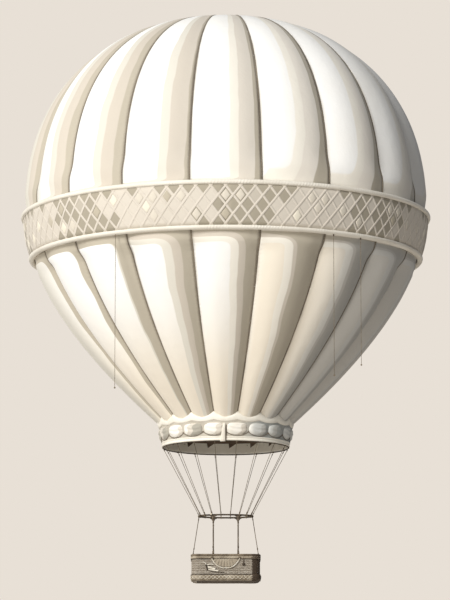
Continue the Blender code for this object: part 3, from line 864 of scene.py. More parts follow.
def belt_length(name, start):
    """One length of the belt's ground, with distance along and up the strip as its UV map."""
    bm = bmesh.new()
    uv = bm.loops.layers.uv.new("UVMap")
    around = [start + math.tau / BELT_LENGTHS * share for share in steps(BELT_COLUMNS)]
    heights = [part_way(BELT_TOP_Z, BELT_BOTTOM_Z, share) for share in steps(BELT_ROWS)]
    _, faces = loft(bm, [[belt_point(azimuth, z) for azimuth in around] for z in heights])
    for face in faces:
        for loop in face.loops:
            place = loop.vert.co
            angle = (math.atan2(place.x, -place.y) - start + 0.1) % math.tau + start - 0.1
            loop[uv].uv = (angle * ENVELOPE_RADIUS, place.z)
    return mesh_of(name, bm, belt_cloth)


belt_cloth = make_belt_cloth()
for number in range(BELT_LENGTHS):
    name = f"belt_ground_{number + 1}"
    ground = add_piece(name, belt_length(name, math.tau * number / BELT_LENGTHS), "belt_cloth", ["belt"])
    thicken(ground, BELT_CLOTH)
    math.tau / BELT_LENGTHS * height_radius(BELT_TOP_Z)

# %% [markdown]
# Ribbons cross the belt in a lattice, five diamonds to a gore. One ribbon runs from the lower roll
# to the upper one while it goes round by a fixed angle; its mirror twin crosses it. Ninety of each
# are turned round the axis. Padded lozenges fill some of the diamonds, as in the picture. Bump could
# draw all of it, but as meshes the ribbons stand off the belt and throw shadows on it.

# %% Lattice of ribbons
RIBBON_WIDTH = 0.085
RIBBON_THICKNESS = 0.005
RIBBON_LAY = 0.005
LOZENGE_WIDTH = 0.33
LOZENGE_HEIGHT = 0.42
LOZENGE_CORNERS = ((1, 0), (0.5, 0.5), (0, 1), (-0.5, 0.5), (-1, 0), (-0.5, -0.5), (0, -1), (0.5, -0.5))


def belt_ribbon(lean, lay):
    """One ribbon from edge to edge of the belt; lean is the side that its top goes to."""
    span = lean * LATTICE_STEP * BELT_HEIGHT / DIAMOND_HEIGHT
    slant = math.hypot(span * ENVELOPE_RADIUS, BELT_HEIGHT)
    wide = RIBBON_WIDTH / 2 * slant / BELT_HEIGHT / ENVELOPE_RADIUS
    section = ((-1.0, 0.0), (-0.9, 1.0), (0.0, 1.3), (0.9, 1.0), (1.0, 0.0))
    rows = [[belt_point(span * (share - 0.5) + across * wide, part_way(BELT_BOTTOM_Z, BELT_TOP_Z, share),
                        lay + up * RIBBON_THICKNESS) for across, up in section] for share in steps(10)]
    return lofted("belt_ribbon", rows, closed=True, caps=True)


def belt_lozenge(z):
    """A flat padded diamond that leaves a gap to the ribbons round it."""
    rows = [[belt_point(x * share * LOZENGE_WIDTH / 2 / ENVELOPE_RADIUS,
                        z + y * share * LOZENGE_HEIGHT / 2, lift) for x, y in LOZENGE_CORNERS]
            for share, lift in ((1.0, -0.004), (1.0, 0.005), (0.82, 0.012), (0.40, 0.016))]
    return lofted("belt_lozenge", rows, closed=True, caps=True)


def make_lozenge_cloth():
    made = Finish("lozenge_cloth", 0.8, Sheen_Weight=0.2)
    copy = made.attribute("copy")
    plain = made.mix(made.between(copy, 0.25, 0.45), paint(190, 180, 160), paint(220, 211, 195))
    made.colour(made.mix(made.between(copy, 0.72, 0.80), plain, paint(236, 228, 209)))
    made.bump(made.noise(40.0), 0.0015)
    return made


ribbon_cloth = cloth_finish("ribbon_cloth", paint(220, 211, 197), paint(211, 202, 188), 0.8, 0.7)
lozenge_cloth = make_lozenge_cloth()
for lean, side, lay in ((1, "right", RIBBON_LAY), (-1, "left", 0.0)):
    copy_piece(f"belt_ribbons_{side}", belt_ribbon(lean, lay), ribbon_cloth, "trim_cloth",
               Count=LATTICE_COUNT)
lozenge_rows = ((0.0, LATTICE_STEP / 2), (DIAMOND_HEIGHT / 2, 0.0), (-DIAMOND_HEIGHT / 2, 0.0))
for number, (rise, turn) in enumerate(lozenge_rows):
    copy_piece(f"belt_lozenges_{number + 1}", belt_lozenge(BELT_MIDDLE_Z + rise), lozenge_cloth,
               "belt_cloth", Count=LATTICE_COUNT, First_Turn=turn, Kept_Share=0.30, Seed=21 + number)

# %% [markdown]
# A stuffed roll finishes each edge of the belt. It is cloth sewn round cord, so it is a full round
# section that narrows slightly where a tie holds it at every seam. A ring of sections is lofted, and
# its inner side reaches in to where the gores are tucked, so that nothing shows between.

# %% Rolls along the belt
ROLL_STEPS = 432
ROLL_SIDES = 14
ROLL_OUT = 0.1003
ROLL_IN = 0.11
ROLL_TIE = 0.05
ROLL_TIE_WIDTH = 0.06


def angles(count):
    """Even angles all round."""
    return [math.tau * i / count for i in range(count)]


def oval(width, height, count, cut=0.0):
    """A closed outline as (outward, upward) offsets; cut above 0 makes it squarer."""
    points = []
    for k in range(count):
        angle = math.tau * (k + 0.5) / count
        c, s = math.cos(angle), math.sin(angle)
        square = (abs(c) ** 4 + abs(s) ** 4) ** -0.25
        grow = part_way(1.0, square, cut)
        points.append((c * grow * width / 2, s * grow * height / 2))
    return points


def ring_piece(name, section, spot, count, finish, slot, stands_for=()):
    """A closed ring round the axis; spot places a point of the section at an azimuth."""
    rows = [[spot(azimuth, *point) for azimuth in angles(count)] for point in section]
    return add_piece(name, lofted(name, rows, finish, closed=True, ring=True), slot, stands_for)


def off_seam(azimuth):
    """0 at a seam and 1 in the middle of a gore."""
    return abs(azimuth % (2 * HALF_GORE) - HALF_GORE) / HALF_GORE


def roll_spot(top, bottom):
    """The rule that places a point of a roll that lies between two heights."""
    middle = (top + bottom) / 2
    base = height_radius(middle)
    slope = (height_radius(top - 0.001) - height_radius(bottom)) / (top - bottom)

    def spot(azimuth, out, up):
        full = 1.0 - ROLL_TIE * math.exp(-(off_seam(azimuth) / ROLL_TIE_WIDTH) ** 2)
        rise = up * (top - bottom) * full
        reach = (ROLL_OUT - ROLL_IN) / 2 + out * full * (ROLL_OUT + ROLL_IN)
        return polar(base + reach + slope * rise, azimuth, middle + rise)
    return spot


def make_roll_cloth():
    made = cloth_finish("roll_cloth", paint(242, 236, 223), paint(222, 213, 196), 0.6)
    x, y, z = made.parts(made.place)
    ruffle = made.math("ARCTAN2", x, y) * 420.0 + z * 26.0
    wave = made.math("SINE", ruffle) * 0.5 + 0.5
    made.bump(wave * made.between(made.noise(1.5), 0.3, 0.7), 0.007)
    return made


roll_cloth = make_roll_cloth()
ROLL_SECTION = oval(1.0, 1.0, ROLL_SIDES, cut=0.45)
for name, top, bottom in (("belt_roll_upper", 0.0, -0.1697), ("belt_roll_lower", -1.5703, -1.72)):
    roll = ring_piece(f"{name}_cloth", ROLL_SECTION, roll_spot(top, bottom), ROLL_STEPS, roll_cloth,
                      "trim_cloth", [name])

# %% [markdown]
# At the crown a hem goes round the opening, and a tape runs on from every seam to a small plate. A
# parachute panel closes the opening from inside; the hot air swells it up between the tapes. It is
# the one piece that moves, so it rides on its own body and everything else stays with the envelope.
# A Screw modifier could turn a round panel, but one sector, copied, can swell between its tapes.

# %% Crown
PLATE_RADIUS = 0.22
VENT_SWELL = 0.030
CROWN_TAPE_WIDTH = 0.050
HEM_SECTION = ((1.470, -0.003), (1.462, 0.009), (1.474, 0.021), (1.492, 0.017), (1.60, 0.014),
               (1.640, 0.017), (1.652, 0.011), (1.655, 0.001))
PLATE_SECTION = ((0.050, 0.002), (0.050, 0.020), (0.064, 0.032), (0.082, 0.030), (0.090, 0.018),
                 (0.200, 0.015), (0.216, 0.012), (0.222, 0.004), (0.216, 0.000))


def new_piece(name, bm, finish, slot, stands_for=(), body="root"):
    return add_piece(name, mesh_of(name, bm, finish), slot, stands_for, body)


def crown_height(radius):
    return crest_point(station_at_radius(radius))[1] if radius > 0.01 else DOME_HEIGHT


def crown_point(azimuth, radius, lift):
    """A point over the crown at a distance from the axis, lifted straight up."""
    return polar(radius, azimuth, crown_height(radius) + lift)


def plate_point(azimuth, radius, lift):
    return polar(radius, azimuth, crown_height(PLATE_RADIUS) + lift)


def crown_tape():
    rows = []
    side = Vector((CROWN_TAPE_WIDTH / 2, 0.0, 0.0))
    for share in steps(14):
        radius = part_way(PLATE_RADIUS * 0.7, VENT_SEAT_RADIUS, share)
        low, high = crown_point(0.0, radius, 0.003), crown_point(0.0, radius, 0.012)
        rows.append([low - side, high - side * 0.9, high + side * 0.9, low + side])
    return lofted("crown_tape", rows, closed=True, caps=True)


def vent_sector():
    """One eighteenth of the parachute panel, swollen between the tapes that cross it."""
    rows = []
    for radius in (part_way(0.02, VENT_SEAT_RADIUS, share) for share in steps(14)):
        swell = VENT_SWELL * ease(radius / 0.6) * (1 - ease((radius - 1.0) / 0.45))
        rows.append([crown_point(across * HALF_GORE, radius, swell * (1 - across ** 2) - SKIN - 0.003)
                     for across in (2 * share - 1 for share in steps(8))])
    return lofted("vent_sector", rows)


ring_piece("crown_hem", HEM_SECTION, crown_point, 216, roll_cloth, "trim_cloth", ["crown_ring"])
copy_piece("crown_tapes", crown_tape(), tape_cloth, "rope", First_Turn=HALF_GORE)
ring_piece("crown_plate", PLATE_SECTION, plate_point, 48, tape_cloth, "trim_cloth")

vent_cloth = cloth_finish("vent_cloth", WHITE, CREAM, 1.2)
bm = bmesh.new()
bm.from_mesh(around_tree.grow("vent_sectors", vent_sector(), vent_cloth))
vent = new_piece("crown_vent_cloth", bm, vent_cloth, "vent_cloth", ["crown_vent_panel"], "crown_vent")
thicken(vent, SKIN)

# %% [markdown]
# The skirt is a band of cloth round the mouth. Its upper edge rises to a point at every seam. The
# cloth is one sheet, lofted from the pointed edge down to the lower hem, with shallow folds that die
# out at both edges. It turns greyer to the right, painted shade as on the gores, and its inner face is
# a lighter copy of the cloth, painted light inside the mouth.

# %% Skirt
SKIRT_EDGE_Z = -7.74
SKIRT_POINT_RISE = 0.20
SKIRT_BOTTOM_Z = -8.575
SKIRT_TOP_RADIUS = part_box("skirt")[1].x - 0.02
SKIRT_BOTTOM_RADIUS = 2.313
SKIRT_FLARE = 0.020
SKIRT_COLUMNS = 16 * GORE_COUNT
SKIRT_FOLD = 0.007
SKIRT_FALL = SKIRT_EDGE_Z - SKIRT_BOTTOM_Z


def skirt_radius(z):
    slope = (SKIRT_TOP_RADIUS - SKIRT_BOTTOM_RADIUS) / SKIRT_FALL
    return SKIRT_TOP_RADIUS - slope * (SKIRT_EDGE_Z - min(z, SKIRT_EDGE_Z))


def skirt_edge(azimuth):
    """How far the upper edge rises here, as a share of the whole point."""
    return (1.0 - off_seam(azimuth)) ** 1.8


def skirt_point(azimuth, z, lift):
    flare = SKIRT_FLARE * max(0.0, z - SKIRT_EDGE_Z) / SKIRT_POINT_RISE
    return polar(skirt_radius(z) + flare + lift, azimuth, z)


def skirt_rows():
    rows = []
    for share in steps(12):
        row = []
        for azimuth in angles(SKIRT_COLUMNS):
            top = SKIRT_EDGE_Z + SKIRT_POINT_RISE * skirt_edge(azimuth)
            wave = math.sin(azimuth * 54 + 1.7 * math.sin(azimuth * 7))
            fold = SKIRT_FOLD * wave * math.sin(math.pi * share)
            row.append(skirt_point(azimuth, part_way(top, SKIRT_BOTTOM_Z, share), fold))
        rows.append(row)
    return rows


def greyer(made, start, end, share, grey):
    """Turns a cloth's own tone towards grey between two places along X: painted shade."""
    x = made.parts(made.place)[0]
    made.colour(made.mix(made.between(x, start, end, 0.0, share), made.tone, grey))


skirt_cloth = cloth_finish("skirt_cloth", paint(210, 202, 186), paint(178, 170, 156), 1.1, 0.8)
# Painted shade: the outer cloth greys towards the right.
greyer(skirt_cloth, 0.2, 1.5, 0.8, paint(150, 155, 155))
# The inner face is a lighter copy of the same cloth: painted light inside the mouth.
lining = cloth_finish("skirt_lining", paint(244, 236, 220), paint(222, 212, 194), 0.8)
mesh = lofted("skirt_cloth", skirt_rows(), skirt_cloth, closed=True)
mesh.materials.append(lining.material)
skirt = add_piece("skirt_cloth", mesh, "skirt_cloth", ["skirt"])
thicken(skirt, SKIN).material_offset = 1

# %% [markdown]
# A light hem follows the points of the upper edge, and a broader one with two ridges closes the lower
# edge. Each is a closed outline carried round the skirt, so only its few corners are listed.

# %% Hems of the skirt
HEM_HEIGHT = 0.165
UPPER_HEM = ((-0.006, 0.0), (0.006, -0.006), (0.024, 0.014), (0.034, 0.055), (0.034, 0.10),
             (0.022, 0.145), (0.004, HEM_HEIGHT), (-0.006, HEM_HEIGHT - 0.01))
LOWER_HEM = ((-0.004, 0.150), (0.020, 0.152), (0.032, 0.136), (0.030, 0.116), (0.016, 0.104),
             (0.014, 0.062), (0.030, 0.050), (0.038, 0.026), (0.030, 0.004), (0.010, -0.004), (-0.012, 0.002))


def under_points(azimuth, out, down):
    """A place outward and down from the pointed upper edge."""
    point = skirt_edge(azimuth)
    z = SKIRT_EDGE_Z + SKIRT_POINT_RISE * point - down * (1.0 + 0.85 * point)
    return skirt_point(azimuth, z, out)


def under_edge(azimuth, out, down):
    """A place outward and down from the level between two points."""
    return skirt_point(azimuth, SKIRT_EDGE_Z - down, out)


hem_cloth = cloth_finish("hem_cloth", paint(250, 245, 232), paint(226, 217, 200), 1.5)
low_section = [(out, SKIRT_FALL - up) for out, up in LOWER_HEM]
ring_piece("skirt_hem_upper", UPPER_HEM, under_points, SKIRT_COLUMNS, hem_cloth, "trim_cloth")
ring_piece("skirt_hem_lower", low_section, under_edge, SKIRT_COLUMNS, hem_cloth, "trim_cloth")

# %% [markdown]
# Cords and pipings are an outline swept along points, and buttons and knots are flattened balls. Both
# helpers add to a mesh in the making, so that one piece can hold many of them.

# %% Swept outlines and balls
UP = Vector((0.0, 0.0, 1.0))
FRONT = Vector((0.0, -1.0, 0.0))


def tube(bm, points, section, turn_up=UP, closed=False):
    """Sweeps a closed outline along points; its second offset points towards turn_up."""
    rows = []
    last = len(points) - 1
    for i, point in enumerate(points):
        before = points[i - 1] if i or closed else point
        after = points[(i + 1) % len(points)] if i < last or closed else point
        along = (after - before).normalized()
        side = along.cross(turn_up).normalized()
        up = side.cross(along)
        rows.append([point + side * out + up * rise for out, rise in section])
    loft(bm, rows, closed=True, ring=closed, caps=not closed)


def ball(bm, centre, radius, flat=(1.0, 1.0, 1.0), segments=(12, 8)):
    made = bmesh.ops.create_uvsphere(bm, u_segments=segments[0], v_segments=segments[1], radius=radius)
    bmesh.ops.scale(bm, vec=flat, verts=made["verts"])
    bmesh.ops.translate(bm, vec=centre, verts=made["verts"])


print("outlines and balls ready")

# %% [markdown]
# A garland of padded swags hangs round the skirt, one under each point. One swag is a pillow bent
# round the skirt with curved folds pressed into it. A cloth simulation could swell it, but its folds
# would not fall where the picture draws them. Each point keeps how far it lies on the shaded side,
# towards the lower right, and the finish turns that into painted shade in tones of cloth, with painted
# shade towards grey on the swags at the right.

# %% Swags of the skirt
SWAG_CENTRE_Z = -8.140
SWAG_HALF_WIDTH = 0.385
SWAG_HALF_HEIGHT = 0.240
SWAG_SWELL = 0.075
SWAG_TURN = 0.55


def swag_point(u, v):
    """Place across and down, lift and painted shade of a swag where u and v run from -1 to 1."""
    round_u, round_v = [a * (0.55 * math.sqrt(1 - b * b / 2) + 0.45) for a, b in ((u, v), (v, u))]
    flat_top = 0.16 * max(0.0, round_v) * (1.0 - round_u ** 2)
    z = SWAG_CENTRE_Z + SWAG_HALF_HEIGHT * (round_v * (1.0 - 0.18 * round_u ** 2) - flat_top)
    away = min(1.0, (u ** 4 + v ** 4) ** 0.25)
    fold = 0.15 * math.sin(math.tau * (1.5 * round_v - SWAG_TURN * round_u ** 2 + 0.25 * round_u))
    lift = SWAG_SWELL * (1 - away ** 3) ** 0.7 * (0.9 + fold)
    shade = 0.75 * round_u - 0.60 * round_v + 0.30 * math.sin(2.6 * round_v)
    return round_u * SWAG_HALF_WIDTH / skirt_radius(z), z, lift, shade


def skirt_swag():
    bm = bmesh.new()
    layer = bm.verts.layers.float.new("painted_shade")
    spots = [[swag_point(2 * across - 1, 1 - 2 * down) for across in steps(20)] for down in steps(14)]
    sides = []
    for back in (False, True):
        grid = [[skirt_point(turn, z, -0.004 if back else lift) for turn, z, lift, _ in row]
                for row in spots]
        verts, _ = loft(bm, grid)
        for line, row in zip(verts, spots):
            for vert, spot in zip(line, row):
                vert[layer] = spot[3]
        rim = grid[0] + [row[-1] for row in grid[1:]] + list(reversed(grid[-1]))[1:]
        sides.append(rim + [row[0] for row in reversed(grid[1:-1])])
    loft(bm, sides, closed=True)
    return mesh_of("skirt_swag", bm)


def make_swag_cloth():
    made = cloth_finish("swag_cloth", paint(253, 249, 240), paint(238, 230, 214), 2.0)
    # The tones below are painted shade on the lower right of each swag, and grey on the swags at the right.
    shade = made.attribute("copy") * 0.9 + made.attribute("painted_shade")
    for edge, colour in ((0.50, paint(222, 214, 200)), (0.90, paint(176, 171, 158))):
        made.tone = made.mix(made.between(shade, edge - 0.05, edge + 0.05), made.tone, colour)
    greyer(made, 0.8, 1.1, 0.55, paint(176, 182, 182))
    return made


swags = copy_piece("skirt_swags", skirt_swag(), make_swag_cloth(), "skirt_cloth",
                   First_Turn=HALF_GORE, Unevenness=0.03)

# %% [markdown]
# A small button sits between two swags, and a thin cord follows their lower curves. Each is made once
# at the front, and the tree of copies turns it round the axis, because all its copies are alike.

# %% Buttons and cord of the skirt
BUTTON_Z = -8.255
BUTTON_RADIUS = 0.030
CORD_LOW_Z = -8.400
CORD_WIDTH = 0.022


def skirt_button():
    bm = bmesh.new()
    ball(bm, skirt_point(0.0, BUTTON_Z, 0.012), BUTTON_RADIUS, flat=(1.0, 0.7, 1.0), segments=(14, 8))
    return mesh_of("skirt_button", bm)


def skirt_cord():
    """One arc of the cord, from button to button under a swag at the front."""
    bm = bmesh.new()
    across = [2 * share - 1 for share in steps(12)]
    points = [skirt_point(share * HALF_GORE, part_way(CORD_LOW_Z, BUTTON_Z, abs(share) ** 2.4), 0.016)
              for share in across]
    tube(bm, points, oval(CORD_WIDTH, CORD_WIDTH, 7))
    return mesh_of("skirt_cord", bm)


dark_cord = cloth_finish("dark_cord", paint(122, 109, 92), paint(92, 81, 67), 4.0)
copy_piece("skirt_buttons", skirt_button(), dark_cord, "rope")
copy_piece("skirt_cord_arcs", skirt_cord(), dark_cord, "rope", First_Turn=HALF_GORE)

# %% [markdown]
# The skirt opens at the front, where a padded lap with a dark piping closes it; the piping's dark cord
# also stands for the shade in the slit, painted shade. Inside, a dark facing band goes round, and a
# gusset hangs from it under every seam; the picture shows the band's edge and the gussets' points
# through the mouth. Both are dark sheets of painted shade inside the mouth.

# %% Lap, piping, facing and gussets of the skirt
LAP_TOP_Z = -7.96
LAP_BOTTOM_Z = -8.615
LAP_WIDTH = 0.19
LAP_SECTION = ((0.0, -0.004), (0.0, 0.055), (0.12, 0.078), (0.5, 0.072), (0.9, 0.080), (1.0, 0.060),
               (1.0, -0.004))
PIPING_TOP_Z = -8.02
GUSSET_TOP_Z = -7.92
GUSSET_POINT_Z = -8.34
GUSSET_WIDTH = 0.68
GUSSET_SECTION = ((-1, 0.005), (0, 0.005), (1, 0.005), (1, 0.013), (0, 0.013), (-1, 0.013))
FACING_SECTION = ((-0.017, 0.16), (-0.017, 0.43), (-0.0245, 0.43), (-0.0245, 0.16))


def skirt_lap():
    rows = []
    for share in steps(14):
        z = part_way(LAP_TOP_Z, LAP_BOTTOM_Z, share)
        wide = LAP_WIDTH * (0.45 + 0.55 * share)
        swell = 0.35 + 0.65 * ease(share * 3)
        radius = skirt_radius(z)
        rows.append([skirt_point(-(0.012 + part * wide) / radius, z, lift * swell if lift > 0 else lift)
                     for part, lift in LAP_SECTION])
    return lofted("skirt_lap", rows, hem_cloth, closed=True, caps=True)


def skirt_gusset():
    """A flat triangle on the inner wall, its point down and to one side."""
    rows = []
    for share in steps(8):
        z = part_way(GUSSET_TOP_Z, GUSSET_POINT_Z, share)
        half = GUSSET_WIDTH / 2 * (1.0 - share) + 0.004
        middle = 0.40 * GUSSET_WIDTH * share
        rows.append([skirt_point((middle + x * half) / skirt_radius(z), z, -SKIN - lift)
                     for x, lift in GUSSET_SECTION])
    return lofted("skirt_gusset", rows, closed=True, caps=True)


add_piece("skirt_lap", skirt_lap(), "trim_cloth")
bm = bmesh.new()
heights = [part_way(PIPING_TOP_Z, LAP_BOTTOM_Z + 0.01, share) for share in steps(10)]
# A real cord whose dark tone is also painted shade in the slit.
tube(bm, [skirt_point(0.003, z, 0.040) for z in heights], oval(0.030, 0.060, 8), -FRONT)
new_piece("skirt_piping", bm, dark_cord, "rope")
# A dark cloth of painted shade for the gussets and the facing inside the mouth.
gusset_cloth = cloth_finish("gusset_cloth", paint(104, 86, 68), paint(74, 59, 45), 2.0)
copy_piece("skirt_gussets", skirt_gusset(), gusset_cloth, "skirt_cloth", First_Turn=HALF_GORE)
ring_piece("skirt_facing", FACING_SECTION, under_edge, SKIRT_COLUMNS, gusset_cloth, "skirt_cloth")

# %% [markdown]
# Ropes are laid from three strands that turn round one another. A twisted mesh could be swept by hand;
# here a tree makes any rope from its path. It takes even points along the path, copies the path once
# for each strand, moves each copy round the middle by an angle that grows with the distance, and
# sweeps a small circle along it.

# %% The rope tree
STRAND_REACH = 0.268
STRAND_RADIUS = 0.245


def make_rope_tree():
    tree = GeometryTree("laid_rope")
    width, strands, lay, step, sides = tree.sizes(Diameter=0.022, Strands=3, Lay_Length=0.11, Step=0.025,
                                                  Sides=5)
    even = tree.add("GeometryNodeResampleCurve", {"Curve": tree.line(), "Length": step}, mode="LENGTH")
    copies = tree.add("GeometryNodeDuplicateElements", {"Geometry": even, "Amount": strands},
                      domain="SPLINE")
    run = tree.add("GeometryNodeSplineParameter")["Length"]
    turn = copies["Duplicate Index"] * (math.tau / strands) + run * (math.tau / lay)
    normal = tree.add("GeometryNodeInputNormal")
    side = tree.vector("CROSS_PRODUCT", tree.add("GeometryNodeInputTangent"), normal)
    out = tree.vector("ADD", tree.scaled(normal, tree.math("COSINE", turn)),
                      tree.scaled(side, tree.math("SINE", turn)))
    reach = tree.scaled(out, width * STRAND_REACH)
    moved = tree.add("GeometryNodeSetPosition", {"Geometry": copies, "Offset": reach})
    tree.end(tree.sweep(moved, tree.circle(sides, width * STRAND_RADIUS), caps=True))
    return tree


def make_rope_finish(name, light, dark, coat=Finish.colour):
    made = Finish(name, 0.88, Sheen_Weight=0.1)
    fibre = made.noise(260.0)
    tone = fibre * 0.35 + made.between(made.noise(9.0, 3.0), 0.3, 0.7)
    coat(made, made.mix(tone, light, dark))
    made.bump(fibre, 0.0012)
    return made


rope_tree = make_rope_tree()
rope_finish = make_rope_finish("rope_fibre", paint(150, 136, 114), paint(98, 84, 66))


def rope_piece(name, routes, finish, slot, stands_for=(), closed=False, **sizes):
    """A piece of laid rope along one or more routes."""
    path = path_mesh(f"{name}_path", routes, closed)
    return grow_piece(rope_tree, name, path, finish, slot, stands_for, **sizes)


print("rope tree:", len(rope_tree.tree.nodes), "nodes")

# %% [markdown]
# A rope hoop lies in the skirt's lower hem, and a line runs from it to the load ring under every
# seam. Each line is taut, so its path is straight. Ties hold it to the hoop, and a whipping and a
# hitch hold it to the ring. The ring is an oval, as its flat line in the picture asks for, so every
# line has its own slope and its ties are wound one by one.

# %% Mouth hoop and suspension lines
HOOP_RADIUS = 2.308
HOOP_Z = -8.5953
HOOP_WIDTH = 0.040
LINE_WIDTH = 0.022
RING_HALF_X = 0.98
RING_HALF_Y = 0.62
RING_Z = -11.11
RING_TUBE = 0.060
SEAMS = [turn + HALF_GORE for turn in angles(GORE_COUNT)]


def ring_point(azimuth, out=0.0, rise=0.0):
    """A point of the oval ring, moved outward and up from the middle of its bar."""
    middle = Vector((RING_HALF_X * math.sin(azimuth), -RING_HALF_Y * math.cos(azimuth), RING_Z + rise))
    away = Vector((math.sin(azimuth) / RING_HALF_X, -math.cos(azimuth) / RING_HALF_Y, 0.0))
    return middle + away.normalized() * out


def ring_direction(azimuth):
    """The way along the ring's bar at an azimuth."""
    return Vector((RING_HALF_X * math.cos(azimuth), RING_HALF_Y * math.sin(azimuth), 0.0)).normalized()


def line_ends(azimuth):
    return polar(HOOP_RADIUS, azimuth, HOOP_Z), ring_point(azimuth, rise=RING_TUBE / 2)


def circle_points(middle, first, second, radius, count):
    """Points of a circle in the plane of two directions."""
    return [middle + (first * math.cos(a) + second * math.sin(a)) * radius for a in angles(count)]


def wrap(bm, middle, along, across, thick, turns, count=12):
    """Turns of cord laid side by side round a rod of the given width."""
    axis = along.normalized()
    first = axis.orthogonal().normalized()
    for k in range(turns):
        shift = middle + axis * thick * 0.92 * (k - (turns - 1) / 2)
        points = circle_points(shift, first, axis.cross(first), (across + thick) / 2, count)
        tube(bm, points, oval(thick, thick, 5), axis, closed=True)


def line_fittings():
    bm = bmesh.new()
    for azimuth in SEAMS:
        top, foot = line_ends(azimuth)
        along = (foot - top).normalized()
        wrap(bm, top, polar(1.0, azimuth + math.pi / 2, 0.0), HOOP_WIDTH, thick=0.014, turns=3)
        wrap(bm, top + along * 0.11, along, LINE_WIDTH, thick=0.008, turns=7, count=9)
        wrap(bm, foot - along * 0.07, along, LINE_WIDTH, thick=0.008, turns=9, count=9)
        wrap(bm, ring_point(azimuth), ring_direction(azimuth), RING_TUBE + 0.004, thick=0.012, turns=3)
    return bm


# The hoop's rope is darker than the lines: a real rope whose dark tone is also painted shade along the rim of
# the mouth.
hoop_finish = make_rope_finish("hoop_fibre", paint(96, 80, 63), paint(58, 46, 35))
hoop_route = [polar(HOOP_RADIUS, turn, HOOP_Z) for turn in angles(180)]
rope_piece("mouth_hoop_rope", [hoop_route], hoop_finish, "rope", ["suspension_lines"], closed=True,
           Diameter=HOOP_WIDTH, Lay_Length=0.16, Step=0.03, Sides=6)
rope_piece("suspension_ropes", [line_ends(azimuth) for azimuth in SEAMS], rope_finish, "rope",
           ["suspension_lines"], Diameter=LINE_WIDTH, Lay_Length=0.10, Step=0.022)
new_piece("line_fittings", line_fittings(), rope_finish, "rope")

# %% [markdown]
# The load ring is dark bent wood, bound all round with cord. The binding could be one long helix;
# here a tree sets turns of cord along the ring's path, each square to it, which a few sizes control.

# %% Load ring
RING_BAR = 0.048


def make_binding_tree():
    tree = GeometryTree("turns_of_cord")
    width, cord, count = tree.sizes(Rod_Width=RING_BAR, Cord=0.010, Count=430)
    even = tree.add("GeometryNodeResampleCurve", {"Curve": tree.line(), "Count": count})
    tangent = tree.add("GeometryNodeInputTangent")
    facing = tree.add("FunctionNodeAlignRotationToVector", {"Vector": tangent}, axis="Z")
    turn = tree.sweep(tree.circle(12, (width + cord * 0.7) * 0.5), tree.circle(5, cord * 0.5))
    fields = {"Points": even, "Instance": turn, "Rotation": facing}
    tree.end(tree.add("GeometryNodeInstanceOnPoints", fields))
    return tree


def make_wood(name, light, dark, stretch, roughness=0.55):
    """Wood with its grain along one axis: noise stretched along it, and bump from the same grain."""
    made = Finish(name, roughness)
    grain = made.noise(38.0, 4.0, stretch=stretch)
    broad = made.noise(5.0, stretch=stretch)
    made.colour(made.mix(made.between(grain * 0.6 + broad, 0.55, 1.05), light, dark))
    made.bump(grain, 0.0015)
    made.rough(made.between(broad, 0.3, 0.7, roughness - 0.1, roughness + 0.15))
    return made


ring_wood = make_wood("ring_wood", paint(90, 74, 56), paint(48, 38, 28), (0.6, 0.6, 3.0))
binding = make_rope_finish("ring_binding", paint(120, 104, 82), paint(66, 54, 41))
ring_route = [ring_point(turn) for turn in angles(160)]
bm = bmesh.new()
tube(bm, ring_route, oval(RING_BAR, RING_BAR, 12), closed=True)
new_piece("load_ring_bar", bm, ring_wood, "bound_ring", ["load_ring"])
grow_piece(make_binding_tree(), "load_ring_binding", path_mesh("ring_path", [ring_route], closed=True),
           binding, "bound_ring")

# %% [markdown]
# Under the ring stand six uprights: four stout turned posts with curved brackets, and a slim rod at
# each end of the basket. A post is a profile swept round the line from its head to its foot, and a
# bracket is a curved outline given a width. A Screw modifier could turn a post, which then has to be
# tilted; these are made at their slope.

# %% Uprights
STOUT_X = 0.455
STOUT_FOOT_Y = 0.80
SLIM_FOOT_X = 1.20
POST_TOP_Z = -11.1403
POST_FOOT_Z = -12.5497
BRACKET_REACH = 0.13
BRACKET_DROP = 0.17
BRACKET_WIDTH = 0.024
STOUT_AZIMUTH = math.asin(STOUT_X / RING_HALF_X)
STOUT_PROFILE = ((0.0, 0.031), (0.012, 0.034), (0.030, 0.034), (0.042, 0.024), (0.055, 0.021),
                 (0.50, 0.0235), (0.90, 0.022), (0.925, 0.022), (0.930, 0.033), (0.965, 0.036), (1.0, 0.036))
SLIM_PROFILE = ((0.0, 0.022), (0.03, 0.022), (0.036, 0.013), (0.94, 0.014), (0.945, 0.022), (1.0, 0.024))
UPRIGHTS = {"front_left": (-1, -1), "front_right": (1, -1), "rear_left": (-1, 1), "rear_right": (1, 1),
            "end_left": (-1, 0), "end_right": (1, 0)}


def post(bm, top, foot, profile, sides=14):
    """A turned post from (share of the way down, radius) points."""
    along = (foot - top).normalized()
    first = along.cross(FRONT).normalized()
    rows = [circle_points(top.lerp(foot, share), first, along.cross(first), radius, sides)
            for share, radius in profile]
    loft(bm, rows, closed=True, caps=True)


def bracket(bm, top, along):
    """A curved bracket between a post's head and the ring; along points away from the post."""
    outline = [(0.016, 0.0), (0.016, -BRACKET_DROP)]
    for share in steps(8)[1:-1]:
        angle = math.pi / 2 * share
        outline.append((part_way(0.022, BRACKET_REACH, 1 - math.cos(angle)),
                        part_way(-BRACKET_DROP, -0.014, math.sin(angle))))
    outline += [(BRACKET_REACH, -0.012), (BRACKET_REACH, 0.0)]
    side = along.cross(UP) * BRACKET_WIDTH / 2
    rows = [[top + along * s + UP * z + shift for s, z in outline] for shift in (side, -side)]
    loft(bm, rows, closed=True, caps=True)


